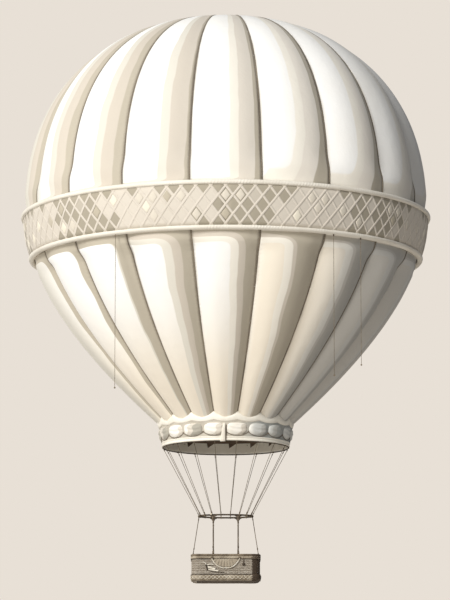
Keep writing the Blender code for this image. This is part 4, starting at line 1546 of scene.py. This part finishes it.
def upright_ends(sx, sy):
    """Top under the ring and foot on the basket's wall."""
    if sy:
        ring_y = RING_HALF_Y * math.cos(STOUT_AZIMUTH)
        return (Vector((sx * STOUT_X, sy * ring_y, POST_TOP_Z)),
                Vector((sx * STOUT_X, sy * STOUT_FOOT_Y, POST_FOOT_Z)))
    return Vector((sx * RING_HALF_X, 0.0, POST_TOP_Z)), Vector((sx * SLIM_FOOT_X, 0.0, POST_FOOT_Z))


dark_wood = make_wood("upright_wood", paint(128, 113, 93), paint(74, 61, 47), (4.0, 4.0, 0.35))
for place, (sx, sy) in UPRIGHTS.items():
    top, foot = upright_ends(sx, sy)
    bm = bmesh.new()
    post(bm, top, foot, STOUT_PROFILE if sy else SLIM_PROFILE)
    if sy:
        azimuth = STOUT_AZIMUTH * sx if sy < 0 else math.pi - STOUT_AZIMUTH * sx
        for turn in (-1, 1):
            bracket(bm, top, ring_direction(azimuth) * turn)
    new_piece(f"upright_{place}_post", bm, dark_wood, "upright_wood", [f"upright_{place}"])

# %% [markdown]
# Small things on the ring: a pale ball hangs at the front left, as the picture shows, and a few turns
# of cord hold each upright's head and its lower part.

# %% Ball and lashings of the ring
BALL_RADIUS = 0.042
BALL_AZIMUTH = math.radians(-31.0)

pale_ball = Finish("pale_ball", 0.45)
pale_ball.colour(pale_ball.mix(pale_ball.noise(12.0, 3.0), paint(240, 232, 214), paint(206, 192, 166)))
bm = bmesh.new()
ball(bm, ring_point(BALL_AZIMUTH, RING_TUBE / 2 + BALL_RADIUS, 0.025), BALL_RADIUS, segments=(24, 14))
new_piece("ring_ball", bm, pale_ball, "pale_rope")
bm = bmesh.new()
for sx, sy in UPRIGHTS.values():
    top, foot = upright_ends(sx, sy)
    down = (foot - top).normalized()
    wide, head = (0.045, 0.26) if sy else (0.028, 0.10)
    wrap(bm, top + down * head, down, wide, thick=0.009, turns=5)
    wrap(bm, top + down * 1.18, down, wide, thick=0.009, turns=7)
new_piece("upright_lashings", bm, rope_finish, "rope")

# %% [markdown]
# The basket is willow. Rods pass in front of one upright stake and behind the next, and each course
# swaps sides, which is a rule: so a tree weaves the wall. Its base is the basket's outline, with the
# outward direction and the phase of the stakes kept at each point.

# %% The basket's outline
BASKET_HALF_X = 1.255
BASKET_HALF_Y = 0.82
BASKET_CORNER = 0.30
BASKET_WALL = 0.040
BASKET_TOP_Z = -12.55
BASKET_BOTTOM_Z = -13.52
BASE_ROUND = 0.15
BASE_LIP = 0.05
RIM_ROLL = 0.085
WALL_TOP_Z = BASKET_TOP_Z - RIM_ROLL - 0.0003
STRAIGHT_WALL = WALL_TOP_Z - (BASKET_BOTTOM_Z + BASE_ROUND)
ROUND_RUN = BASE_ROUND * math.pi / 2
STAKES = 76
POINTS_PER_STAKE = 4


def basket_spots(count):
    """Even spots round the basket's outline at height 0, each with its outward direction."""
    fine = []
    for quarter, (sx, sy) in enumerate(((1, 1), (-1, 1), (-1, -1), (1, -1))):
        centre = Vector((sx * (BASKET_HALF_X - BASKET_CORNER), sy * (BASKET_HALF_Y - BASKET_CORNER), 0.0))
        for share in steps(24):
            angle = math.pi / 2 * (quarter + share)
            out = Vector((math.cos(angle), math.sin(angle), 0.0))
            fine.append((centre + out * BASKET_CORNER, out))
    fine.append(fine[0])
    run = runs([spot for spot, _ in fine])
    spots, k = [], 0
    for i in range(count):
        goal = run[-1] * i / count
        while run[k + 1] < goal:
            k += 1
        share = (goal - run[k]) / (run[k + 1] - run[k])
        (spot, out), (next_spot, next_out) = fine[k:k + 2]
        spots.append((spot.lerp(next_spot, share), out.lerp(next_out, share).normalized()))
    return spots


print("outline of the basket in metres:", round(runs([spot for spot, _ in basket_spots(200)])[-1], 2))

# %% [markdown]
# The weave could be a bumped surface, but its rods show at the rim and in every view from near by.
# So the tree copies the outline once for each course, moves it down the wall and round the base, and
# swings it in front of one stake and behind the next by a cosine of the phase that it carries.

# %% The weaving tree
COURSE_PITCH = 0.0215


def make_weave_tree():
    tree = GeometryTree("woven_courses")
    courses, pitch, straight, base_round, top, swing, inset, depth, height, seed = tree.sizes(
        Courses=45, Pitch=COURSE_PITCH, Straight=STRAIGHT_WALL, Base_Round=BASE_ROUND, Top=WALL_TOP_Z,
        Swing=0.010, Inset=BASKET_WALL / 2, Rod_Depth=0.0135, Rod_Height=0.0225, Seed=3)
    copies = tree.add("GeometryNodeDuplicateElements", {"Geometry": tree.line(), "Amount": courses},
                      domain="SPLINE")
    number = copies["Duplicate Index"]
    down = (number + 0.5) * pitch
    angle = tree.math("MAXIMUM", down - straight, 0.0) / base_round
    inward = base_round * (1.0 - tree.math("COSINE", angle))
    drop = tree.math("SINE", angle) * base_round + tree.math("MINIMUM", down, straight)
    place = tree.vector("ADD", tree.add("GeometryNodeInputPosition"), tree.point(0.0, 0.0, number))
    jitter = tree.noise_at(place, 3.0, 1.0) - 0.5
    wave = tree.math("COSINE", number * math.pi + tree.named("phase"))
    out = wave * swing - (inset + inward)
    level = jitter * 0.008 + (top - drop)
    offset = tree.vector("ADD", tree.scaled(tree.named("away", "FLOAT_VECTOR"), out),
                         tree.point(0.0, 0.0, level))
    moved = tree.add("GeometryNodeSetPosition", {"Geometry": copies, "Offset": offset})
    fourth = tree.math("MODULO", number, 4.0) < 0.5
    tone = fourth * 0.9 + tree.chance("FLOAT", 1, ID=number, Seed=seed) * 0.5
    marked = tree.stored(moved, "course", tone, domain="CURVE")
    upright = tree.add("GeometryNodeSetCurveNormal", {"Curve": marked})
    profile = tree.add("GeometryNodeTransform", {"Geometry": tree.circle(5, 0.5),
                                                 "Scale": tree.point(depth, height, 1.0)})
    tree.end(tree.sweep(upright, profile))
    return tree


weave_tree = make_weave_tree()
print("weaving tree:", len(weave_tree.tree.nodes), "nodes")

# %% [markdown]
# Willow has lighter and darker rods, and it shines a little where it is worn. Every fourth course is
# darker, by a tone that the tree keeps for each course. The right end of the basket, turned away from
# the light, gets painted shade on its willow, its leather and its lacing, so one function darkens any
# finish of the basket.

# %% Willow
def weave_base():
    spots = basket_spots(STAKES * POINTS_PER_STAKE)
    mesh = path_mesh("weave_base", [[spot for spot, _ in spots]], closed=True)
    keep(mesh, "phase", [math.pi * i / POINTS_PER_STAKE for i in range(len(spots))])
    keep(mesh, "away", [value for _, away in spots for value in away], "FLOAT_VECTOR", "vector")
    return mesh


def painted_shade_end(made, tone):
    """Colours a finish with painted shade at the basket's right end, with an edge that steps by courses."""
    x, _, z = made.parts(made.place)
    step = made.noise_at(made.point(0.0, 0.0, z), 30.0, 0.0)
    # Painted shade: the right end, turned away from the light, goes dark brown.
    made.colour(made.mix(made.between(step * -0.18 + x, 0.85, 0.88), tone, paint(82, 68, 54)))


def make_wicker():
    made = Finish("wicker", 0.62)
    rod = made.noise(7.0, 3.0, stretch=(1.0, 1.0, 5.0))
    tone = made.between(rod, 0.3, 0.7) * 0.5 + made.attribute("course") * 0.75
    painted_shade_end(made, made.mix(tone, paint(212, 203, 188), paint(140, 127, 110)))
    made.bump(made.noise(90.0, stretch=(1.0, 1.0, 3.0)), 0.0012)
    made.rough(made.between(rod, 0.3, 0.7, 0.5, 0.75))
    return made


wicker = make_wicker()
grow_piece(weave_tree, "basket_weave", weave_base(), wicker, "wicker", ["basket_walls"],
           Courses=int((STRAIGHT_WALL + ROUND_RUN * 0.93) / COURSE_PITCH))

# %% [markdown]
# The stakes stand in the middle of the weave and turn in under the basket, where a flat ring of
# willow holds their ends. An array along a curve could set the stakes, but a function that gives the
# wall's own line, down it and round the base, also serves the band and the lacing. The ring is an
# outline carried round the basket, as the rim and the bands are.

# %% Stakes and lip
STAKE_WIDTH = 0.013


def wall_point(down, inset):
    """Distance inside the outline and height at a distance down the wall and round its base."""
    past = min(max(0.0, down - STRAIGHT_WALL), ROUND_RUN)
    lip = max(0.0, down - STRAIGHT_WALL - past)
    angle = past / BASE_ROUND
    inward = BASE_ROUND - (BASE_ROUND - inset) * math.cos(angle)
    return inward + lip, WALL_TOP_Z - min(down, STRAIGHT_WALL) - (BASE_ROUND - inset) * math.sin(angle)


def on_wall(spot, away, down, inset):
    inward, z = wall_point(down, inset)
    return spot - away * inward + UP * z


def basket_ring(name, section, finish, slot, stands_for=(), count=240, grow=lambda i: 1.0):
    """A closed ring round the basket from (outward, height) points; grow scales its section."""
    middle_out = sum(out for out, _ in section) / len(section)
    middle_z = sum(z for _, z in section) / len(section)
    spots = basket_spots(count)
    rows = [[spot + away * part_way(middle_out, out, grow(i)) + UP * part_way(middle_z, z, grow(i))
             for i, (spot, away) in enumerate(spots)] for out, z in section]
    return add_piece(name, lofted(name, rows, finish, closed=True, ring=True), slot, stands_for)


def make_stakes():
    bm = bmesh.new()
    for spot, away in basket_spots(STAKES):
        points = [on_wall(spot, away, down, BASKET_WALL / 2) for down in (
            0.0, 0.4 * STRAIGHT_WALL, STRAIGHT_WALL, STRAIGHT_WALL + 0.08, STRAIGHT_WALL + 0.16,
            STRAIGHT_WALL + ROUND_RUN, STRAIGHT_WALL + ROUND_RUN + BASE_LIP)]
        tube(bm, points, oval(STAKE_WIDTH, STAKE_WIDTH, 6), away.cross(UP))
    return bm


new_piece("basket_stakes", make_stakes(), wicker, "wicker", ["basket_walls"])
lip_section = [(out - BASE_ROUND - BASE_LIP / 2, BASKET_BOTTOM_Z + 0.020 + up)
               for out, up in oval(BASE_LIP, 0.034, 8, cut=0.5)]
basket_ring("basket_lip", lip_section, wicker, "wicker", grow=lambda i: 1.0 - 0.10 * (i % 2))

# %% [markdown]
# The floor is nine boards with small gaps, and three battens hold them together. A Boolean could cut
# plain boards to the basket's round corners, but the corner's own formula gives every board its ends.

# %% Floor of the basket
BOARDS = 9
BOARD_GAP = 0.006
FLOOR_INSET = BASE_ROUND + BASE_LIP + 0.0003
FLOOR_THICKNESS = 0.040
FLOOR_HALF_Y = BASKET_HALF_Y - FLOOR_INSET
BATTEN = (0.07, 1.1, 0.012)


def half_width_at(y):
    """Half the floor's length along X at this Y."""
    corner = BASKET_CORNER - FLOOR_INSET
    over = max(0.0, abs(y) - (FLOOR_HALF_Y - corner))
    return BASKET_HALF_X - FLOOR_INSET - corner + math.sqrt(max(0.0, corner ** 2 - over ** 2))


def solid_box(bm, centre, size, bevel, turn=0.0):
    made = bmesh.ops.create_cube(bm, size=1.0)
    place = Matrix.Translation(centre) @ Matrix.Rotation(turn, 4, "Z") @ Matrix.Diagonal((*size, 1.0))
    bmesh.ops.transform(bm, matrix=place, verts=made["verts"])
    edges = dict.fromkeys(edge for vert in made["verts"] for edge in vert.link_edges)
    bmesh.ops.bevel(bm, geom=list(edges), offset=bevel, segments=2, profile=0.5, affect="EDGES")


def make_floor_boards():
    bm = bmesh.new()
    top_z = BASKET_BOTTOM_Z + FLOOR_THICKNESS
    for n in range(BOARDS):
        y0 = FLOOR_HALF_Y * (2 * n / BOARDS - 1) + BOARD_GAP / 2
        y1 = FLOOR_HALF_Y * (2 * (n + 1) / BOARDS - 1) - BOARD_GAP / 2
        ys = [part_way(y0, y1, share) for share in steps(5)]
        outline = [(half_width_at(y), y) for y in ys] + [(-half_width_at(y), y) for y in reversed(ys)]
        loft(bm, [[(x, y, z) for x, y in outline] for z in (BASKET_BOTTOM_Z, top_z)], closed=True, caps=True)
    for x in (-0.7, 0.0, 0.7):
        solid_box(bm, Vector((x, 0.0, top_z + BATTEN[2] / 2)), BATTEN, bevel=0.003)
    return bm


floor_wood = make_wood("floor_wood", paint(104, 87, 68), paint(66, 53, 40), (0.4, 4.0, 4.0), 0.7)
new_piece("basket_floor_boards", make_floor_boards(), floor_wood, "floor_wood", ["basket_floor"])

# %% [markdown]
# A padded roll of leather goes round the rim, bound by a strap that winds round it, which leaves it
# in small ridges. The roll is one closed ring whose outline shrinks a little at each turn of the strap.

# %% Rim of the basket
RIM_SEGMENTS = 640
RIM_TURNS = 142
RIM_WIDTH = 0.084
RIM_INWARD = 0.020


def make_leather(name, light, dark, roughness=0.6):
    """Worn leather: patches, grain, duller where lighter, and painted shade at the basket's right end."""
    made = Finish(name, roughness, Specular_IOR_Level=0.4)
    worn = made.between(made.noise(4.0, 4.0), 0.35, 0.7)
    painted_shade_end(made, made.mix(worn, dark, light))
    made.rough(worn * 0.2 + (roughness - 0.1))
    made.bump(made.noise(120.0, 3.0), 0.0012)
    return made


def rim_ridge(i):
    return 1.0 - 0.07 * abs(math.cos(math.pi * RIM_TURNS * i / RIM_SEGMENTS)) ** 6


dark_leather = make_leather("rim_leather", paint(148, 133, 112), paint(98, 84, 67))
rim_section = [(out - RIM_INWARD, BASKET_TOP_Z - RIM_ROLL / 2 + up)
               for out, up in oval(RIM_WIDTH, RIM_WIDTH, 12)]
rim = basket_ring("basket_rim_roll", rim_section, dark_leather, "leather", ["basket_rim"], RIM_SEGMENTS,
                  rim_ridge)

# %% [markdown]
# Under the rim lies a band of lighter leather, stitched along both edges. Its outline is carried round
# the basket. A stitch shows only as a light dash, so a tree sets a small box on every point of a path
# and turns it by the angle that the point keeps.

# %% Band under the rim
BAND_HEIGHT = 0.085
BAND_BOTTOM_Z = WALL_TOP_Z - BAND_HEIGHT
BAND_DEPTH = 0.018
BAND_SECTION = ((0.0003, WALL_TOP_Z), (0.014, WALL_TOP_Z), (BAND_DEPTH, WALL_TOP_Z - 0.006),
                (BAND_DEPTH, BAND_BOTTOM_Z + 0.006), (0.014, BAND_BOTTOM_Z), (0.0003, BAND_BOTTOM_Z))
STITCH_COUNT = 250
STITCH_EDGE = 0.014


def make_stitch_tree():
    tree = GeometryTree("stitches_on_points")
    length, thickness = tree.sizes(Stitch_Length=0.019, Thickness=0.005)
    stitch = tree.add("GeometryNodeMeshCube", {"Size": tree.point(length, thickness, thickness)})
    fields = {"Points": tree.base, "Instance": stitch, "Rotation": tree.point(0.0, 0.0, tree.named("turn"))}
    tree.end(tree.add("GeometryNodeInstanceOnPoints", fields))
    return tree


def stitch_points():
    spots = basket_spots(STITCH_COUNT)
    heights = (WALL_TOP_Z - STITCH_EDGE, BAND_BOTTOM_Z + STITCH_EDGE)
    mesh = path_mesh("stitch_points", [[spot + away * BAND_DEPTH + UP * z for spot, away in spots]
                                       for z in heights])
    keep(mesh, "turn", [math.atan2(away.x, -away.y) for _, away in spots] * len(heights))
    return mesh


band_leather = make_leather("band_leather", paint(186, 174, 154), paint(138, 124, 104), 0.7)
thread = make_rope_finish("waxed_thread", paint(240, 232, 214), paint(214, 203, 180))
basket_ring("basket_rim_band_leather", BAND_SECTION, band_leather, "leather", ["basket_rim_band"])
grow_piece(make_stitch_tree(), "rim_stitches", stitch_points(), thread, "pale_rope")

# %% [markdown]
# A second band goes round the bottom and follows the round of the basket's base. Plain crossed lacing
# runs along it: two zigzags of cord from the rope tree, one over the other. A dark flat cord of
# leather is sewn along the edge of each band; the one on the lower band's top edge also stands for the
# shadow under that edge, painted shade.

# %% Lower band, lacing and pipings
LOWER_BAND_TOP = -13.305
LOWER_BAND_DEPTH = 0.014
LACE_COUNT = 28
LACE_WIDTH = 0.022
LACE_TOP = 0.032
LACE_REACH = 0.120


def lower_band_section():
    """The wall's own line from the band's top to the round of the base, once out and once back."""
    start = WALL_TOP_Z - LOWER_BAND_TOP
    downs = [start, start + 0.006]
    downs += [STRAIGHT_WALL + BASE_ROUND * math.radians(angle) for angle in (0, 15, 30, 45, 60)]
    section = []
    for depth, order in ((LOWER_BAND_DEPTH, 1), (0.0006, -1)):
        for down in downs[::order]:
            inward, z = wall_point(down, -depth)
            section.append((-inward, z))
    return section


def crossed_lace(side):
    """One zigzag of the lacing round the lower band, on the round of the base at its low points."""
    points = []
    for i, (spot, away) in enumerate(basket_spots(4 * LACE_COUNT)):
        low = (0.0, 0.5, 1.0, 0.5)[(i + 2 * side) % 4]
        down = WALL_TOP_Z - LOWER_BAND_TOP + LACE_TOP + LACE_REACH * low
        points.append(on_wall(spot, away, down, -LOWER_BAND_DEPTH - LACE_WIDTH * (0.4 + 0.3 * side)))
    return points


lace_leather = make_leather("lace_leather", paint(84, 71, 57), paint(55, 45, 35))
# The lacing also takes the painted shade at the basket's right end.
lace_finish = make_rope_finish("lace_fibre", paint(250, 244, 230), paint(212, 202, 182), painted_shade_end)
# The lower band's piping is partly painted shade under the band's edge.
for name, out, z in (("rim_band_piping", 0.012, BAND_BOTTOM_Z - 0.006),
                     ("lower_band_piping", 0.014, LOWER_BAND_TOP)):
    section = [(out + across, z + up) for across, up in oval(0.016, 0.034, 8)]
    basket_ring(name, section, lace_leather, "leather")
basket_ring("basket_lower_band_leather", lower_band_section(), band_leather, "band_leather",
            ["basket_lower_band"])
rope_piece("lower_band_lacing", [crossed_lace(0), crossed_lace(1)], lace_finish, "pale_rope", closed=True,
           Diameter=LACE_WIDTH, Lay_Length=0.05, Step=0.018, Sides=4)

# %% [markdown]
# A pale rope hangs in a swag between two leather tabs on the front of the rim band. It is free cord,
# laid along the same route as in the imported model.

# %% Rope swag on the front
SWAG_HALF_SPAN = 0.50
SWAG_SAG = 0.36
SWAG_WIDTH = 0.036
SWAG_Y = -0.859
SWAG_TOP_Z = -12.7081
TAB_SIZE = 0.060
HALF_SWAG = ((-1.0, 0.0), (-1.0, 0.10), (-0.86, 0.42), (-0.58, 0.80), (-0.28, 0.965), (0.0, 1.0))


def smooth_route(points, spacing):
    """Evenly spaced points on a smooth curve through given points."""
    route = []
    last = len(points) - 1
    for i in range(last):
        p0, p1 = points[max(i - 1, 0)], points[i]
        p2, p3 = points[i + 1], points[min(i + 2, last)]
        count = max(1, round((p2 - p1).length / spacing))
        for k in range(count):
            t = k / count
            route.append(0.5 * (2 * p1 + (p2 - p0) * t + (2 * p0 - 5 * p1 + 4 * p2 - p3) * t * t
                                + (3 * p1 - p0 - 3 * p2 + p3) * t * t * t))
    route.append(points[-1])
    return route


swag_bends = HALF_SWAG + tuple((-across, drop) for across, drop in reversed(HALF_SWAG[:-1]))
swag_route = smooth_route([Vector((across * SWAG_HALF_SPAN, SWAG_Y, SWAG_TOP_Z - drop * SWAG_SAG))
                           for across, drop in swag_bends], 2.2 * SWAG_WIDTH)
swag_length = runs(swag_route)[-1]
pale_rope_finish = make_rope_finish("pale_rope_fibre", paint(255, 252, 244), paint(226, 216, 196))
swag = rope_piece("swag_rope_laid", [swag_route], pale_rope_finish, "pale_rope", ["swag_rope"],
                  Diameter=SWAG_WIDTH, Lay_Length=0.13, Step=0.012, Sides=7)
swag_route[0]
print("length of the rope swag in metres:", round(swag_length, 3))

bm = bmesh.new()
for side in (-1, 1):
    middle = Vector((side * SWAG_HALF_SPAN, SWAG_Y, SWAG_TOP_Z + 0.0003 + TAB_SIZE / 2))
    solid_box(bm, middle, (1.6 * TAB_SIZE, TAB_SIZE, TAB_SIZE), bevel=0.012)
    wrap(bm, middle - UP * 0.012, UP, 0.074, thick=0.009, turns=2, count=20)
new_piece("swag_tabs", bm, dark_leather, "leather")

# %% [markdown]
# The pleated cloth is a fan: its upper edge is gathered under the rim band and its lower edge follows
# the rope. A cloth simulation could gather it, but rows with a wave across them keep its pleats even,
# and the wave deepens from almost nothing at the top.

# %% Pleated cloth
FAN_PLEATS = 8
FAN_Y = -0.834
FAN_TOP_Z = -12.722
FAN_CLOTH = 0.003


def rope_depth(across):
    """How far the rope has sagged at a share of its half span from the middle."""
    x = across * SWAG_HALF_SPAN
    for a, b in zip(swag_route, swag_route[1:]):
        low, high = sorted((a.x, b.x))
        if low <= x <= high and high > low:
            return SWAG_TOP_Z - part_way(a.z, b.z, (x - a.x) / (b.x - a.x))
    return SWAG_SAG * 0.1


def fan_rows():
    rows = []
    for down in steps(14):
        row = []
        depth = 0.004 + 0.019 * ease(down * 1.4)
        for share in steps(132):
            across = 1.84 * share - 0.92
            low = SWAG_TOP_Z - max(0.03, rope_depth(across) - 0.035)
            pleat = math.sin(math.tau * FAN_PLEATS * share)
            row.append((across * SWAG_HALF_SPAN * (0.72 + 0.28 * down), FAN_Y - depth * (1.0 + pleat) * 0.5,
                        part_way(FAN_TOP_Z, low, down)))
        rows.append(row)
    return rows


fan_cloth = cloth_finish("fan_cloth", paint(182, 170, 150), paint(124, 111, 93), 3.0)
fan = add_piece("swag_fan_cloth", lofted("pleated_fan", fan_rows(), fan_cloth), "pale_rope")
thicken(fan, FAN_CLOTH)

# %% [markdown]
# At the left a dark knot gathers ribbons that sweep up and down under the rope, each a strip along a
# smooth path. The knot's dark balls also stand for the shade round it, and a thin dark line on the wall
# under the ribbons and the rope is a painted shadow. A wooden toggle hangs on a strap at the right. All
# of it lies against the wall, so one helper sweeps an outline along the front.

# %% Ribbons, knot and toggle
RIBBONS = (
    (0.026, [(-0.83, -0.846, -12.85), (-0.76, -0.856, -12.88), (-0.70, -0.848, -12.95)]),
    (0.034, [(-0.67, -0.846, -12.96), (-0.57, -0.858, -12.93), (-0.44, -0.848, -12.95)]),
    (0.075, [(-0.66, -0.850, -13.04), (-0.57, -0.862, -13.05), (-0.47, -0.852, -13.09),
             (-0.38, -0.860, -13.11)]),
    (0.050, [(-0.63, -0.844, -13.12), (-0.52, -0.856, -13.14), (-0.40, -0.850, -13.16),
             (-0.27, -0.860, -13.17)]))
KNOT_BALLS = ((-0.705, -12.98, 0.038), (-0.680, -13.05, 0.042), (-0.665, -13.12, 0.032))
PAINTED_SHADOW_LINE = [(-0.68, -0.842, -13.13), (-0.50, -0.850, -13.19), (-0.28, -0.846, -13.215),
          (-0.05, -0.844, -13.225)]
TOGGLE_PLACE = Vector((0.650, -0.862, -12.935))
TOGGLE_STRAP = [(0.650, -0.842, -12.70), (0.646, -0.846, -12.82), TOGGLE_PLACE]


def on_front(bm, points, section, spacing):
    """Sweeps an outline along a smooth path, flat against the basket's front."""
    tube(bm, smooth_route([Vector(point) for point in points], spacing), section, FRONT)


def strip(bm, points, width, thickness=0.004):
    section = ((-width / 2, 0.0), (-width / 2, thickness), (width / 2, thickness), (width / 2, 0.0))
    on_front(bm, points, section, 0.02)


ribbon_silk = cloth_finish("ribbon_silk", paint(238, 231, 216), paint(206, 195, 174), 3.0)
bm = bmesh.new()
for width, points in RIBBONS:
    strip(bm, points, width)
new_piece("swag_ribbon", bm, ribbon_silk, "pale_rope")
bm = bmesh.new()
for x, z, radius in KNOT_BALLS:
    ball(bm, (x, -0.845, z), radius, flat=(1.0, 0.6, 1.0))
# A dark line under the ribbons and the rope: painted shadow.
on_front(bm, PAINTED_SHADOW_LINE, oval(0.020, 0.020, 6), 0.03)
new_piece("swag_ribbon_knot", bm, lace_leather, "rope")
bm = bmesh.new()
strip(bm, TOGGLE_STRAP, width=0.030, thickness=0.006)
ball(bm, TOGGLE_PLACE, 0.056, flat=(1.0, 0.7, 0.8), segments=(16, 10))
new_piece("rim_toggle", bm, ring_wood, "leather")

# %% [markdown]
# Three free lines hang plumb under the belt, each from a tab on the lower roll, with a knot at its
# end. They are cords too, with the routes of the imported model, and their knots go with them.

# %% Free lines
DROP_WIDTH = 0.020
KNOT_HEIGHT = 0.060
KNOT_GAP = 0.0003
KNOT_PROFILE = ((0.0, 0.012), (0.15, 0.024), (0.35, 0.027), (0.65, 0.027), (0.85, 0.021), (1.0, 0.013))
LINE_TAB = (0.042, 0.028, 0.085)


def line_knot(top):
    """A stopper knot: a round core with two turns of rope over it."""
    bm = bmesh.new()
    post(bm, top, top - UP * KNOT_HEIGHT, KNOT_PROFILE, 12)
    for lean in (0.5, -0.5):
        wrap(bm, top - UP * KNOT_HEIGHT / 2, Vector((lean, 0.2, 1.0)), 0.044, thick=0.010, turns=2)
    return bm


tabs = bmesh.new()
for place in ("left", "right", "far_right"):
    low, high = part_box(f"drop_line_{place}")
    x, y = (low.x + high.x) / 2, (low.y + high.y) / 2
    name = f"free_line_{place}"
    route = [Vector((x, y, part_way(high.z, low.z, share))) for share in steps(23)]
    line = rope_piece(name, [route], rope_finish, "rope", [f"drop_line_{place}"],
                      Diameter=DROP_WIDTH, Lay_Length=0.08, Step=0.02)
    knot = new_piece(f"{name}_knot", line_knot(route[-1] - UP * KNOT_GAP), rope_finish, "rope",
                     [f"drop_knot_{place}"])
    route[0]
    solid_box(tabs, route[0] + UP * LINE_TAB[2] / 2, LINE_TAB, bevel=0.006, turn=math.atan2(x, -y))
    wrap(tabs, route[0] + UP * 0.012, UP, 0.046, thick=0.008, turns=2)
    print(f"free line {place}: {high.z - low.z:.3f} m")
new_piece("free_line_tabs", tabs, dark_leather, "leather")

# %% [markdown]
# The floor is pale and the light is soft: a broad sun from the front left, a weak one from below that
# stands for light from the ground, and a warm paper-coloured surround, bright at the left and cooler
# and dim at the right. The camera sees the paper colour as the backdrop.

# %% Floor, light and surround
FLOOR_Z = -22.6
FLOOR_RADIUS = 60.0
PAPER = paint(232, 224, 214)
SURROUND_LIT = paint(206, 204, 200)
SURROUND_DIM = paint(98, 102, 109)


def make_floor():
    bm = bmesh.new()
    bmesh.ops.create_circle(bm, cap_ends=True, segments=96, radius=FLOOR_RADIUS)
    bmesh.ops.translate(bm, verts=bm.verts, vec=UP * FLOOR_Z)
    pale = Finish("pale_floor", 0.9)
    tone = pale.between(pale.noise(0.3, 3.0), 0.3, 0.7)
    pale.colour(pale.mix(tone, paint(226, 218, 208), paint(220, 212, 201)))
    link("floor", mesh_of("floor", bm, pale))


def add_sun(name, azimuth, elevation, strength, colour, softness):
    data = bpy.data.lights.new(name, "SUN")
    data.energy = strength
    data.color = colour
    data.angle = math.radians(softness)
    rise = math.radians(elevation)
    origin = polar(math.cos(rise), math.radians(azimuth), math.sin(rise))
    link(name, data).rotation_euler = (-origin).to_track_quat("-Z", "Y").to_euler()


def make_surround():
    world = bpy.data.worlds.new("surround")
    bpy.context.scene.world = world
    world.use_nodes = True
    wiring = Wiring(world.node_tree)
    x, y, _ = wiring.parts(wiring.add("ShaderNodeTexCoord")["Generated"])
    light = wiring.mix(wiring.between(y * -0.45 - x, -1.0, 1.0), SURROUND_DIM, SURROUND_LIT)
    seen = wiring.add("ShaderNodeLightPath")["Is Camera Ray"]
    wiring.feed(world.node_tree.nodes["Background"].inputs["Color"], wiring.mix(seen, light, PAPER))


make_floor()
add_sun("key", azimuth=-31.0, elevation=24.0, strength=2.25, colour=(1.0, 0.995, 0.985), softness=18.0)
add_sun("fill", azimuth=-34.0, elevation=-14.0, strength=0.72, colour=(1.0, 0.99, 0.97), softness=8.0)
make_surround()
bpy.context.scene.view_settings.view_transform = "Standard"
print("floor at", FLOOR_Z, "m, suns:", [light.name for light in bpy.data.lights])
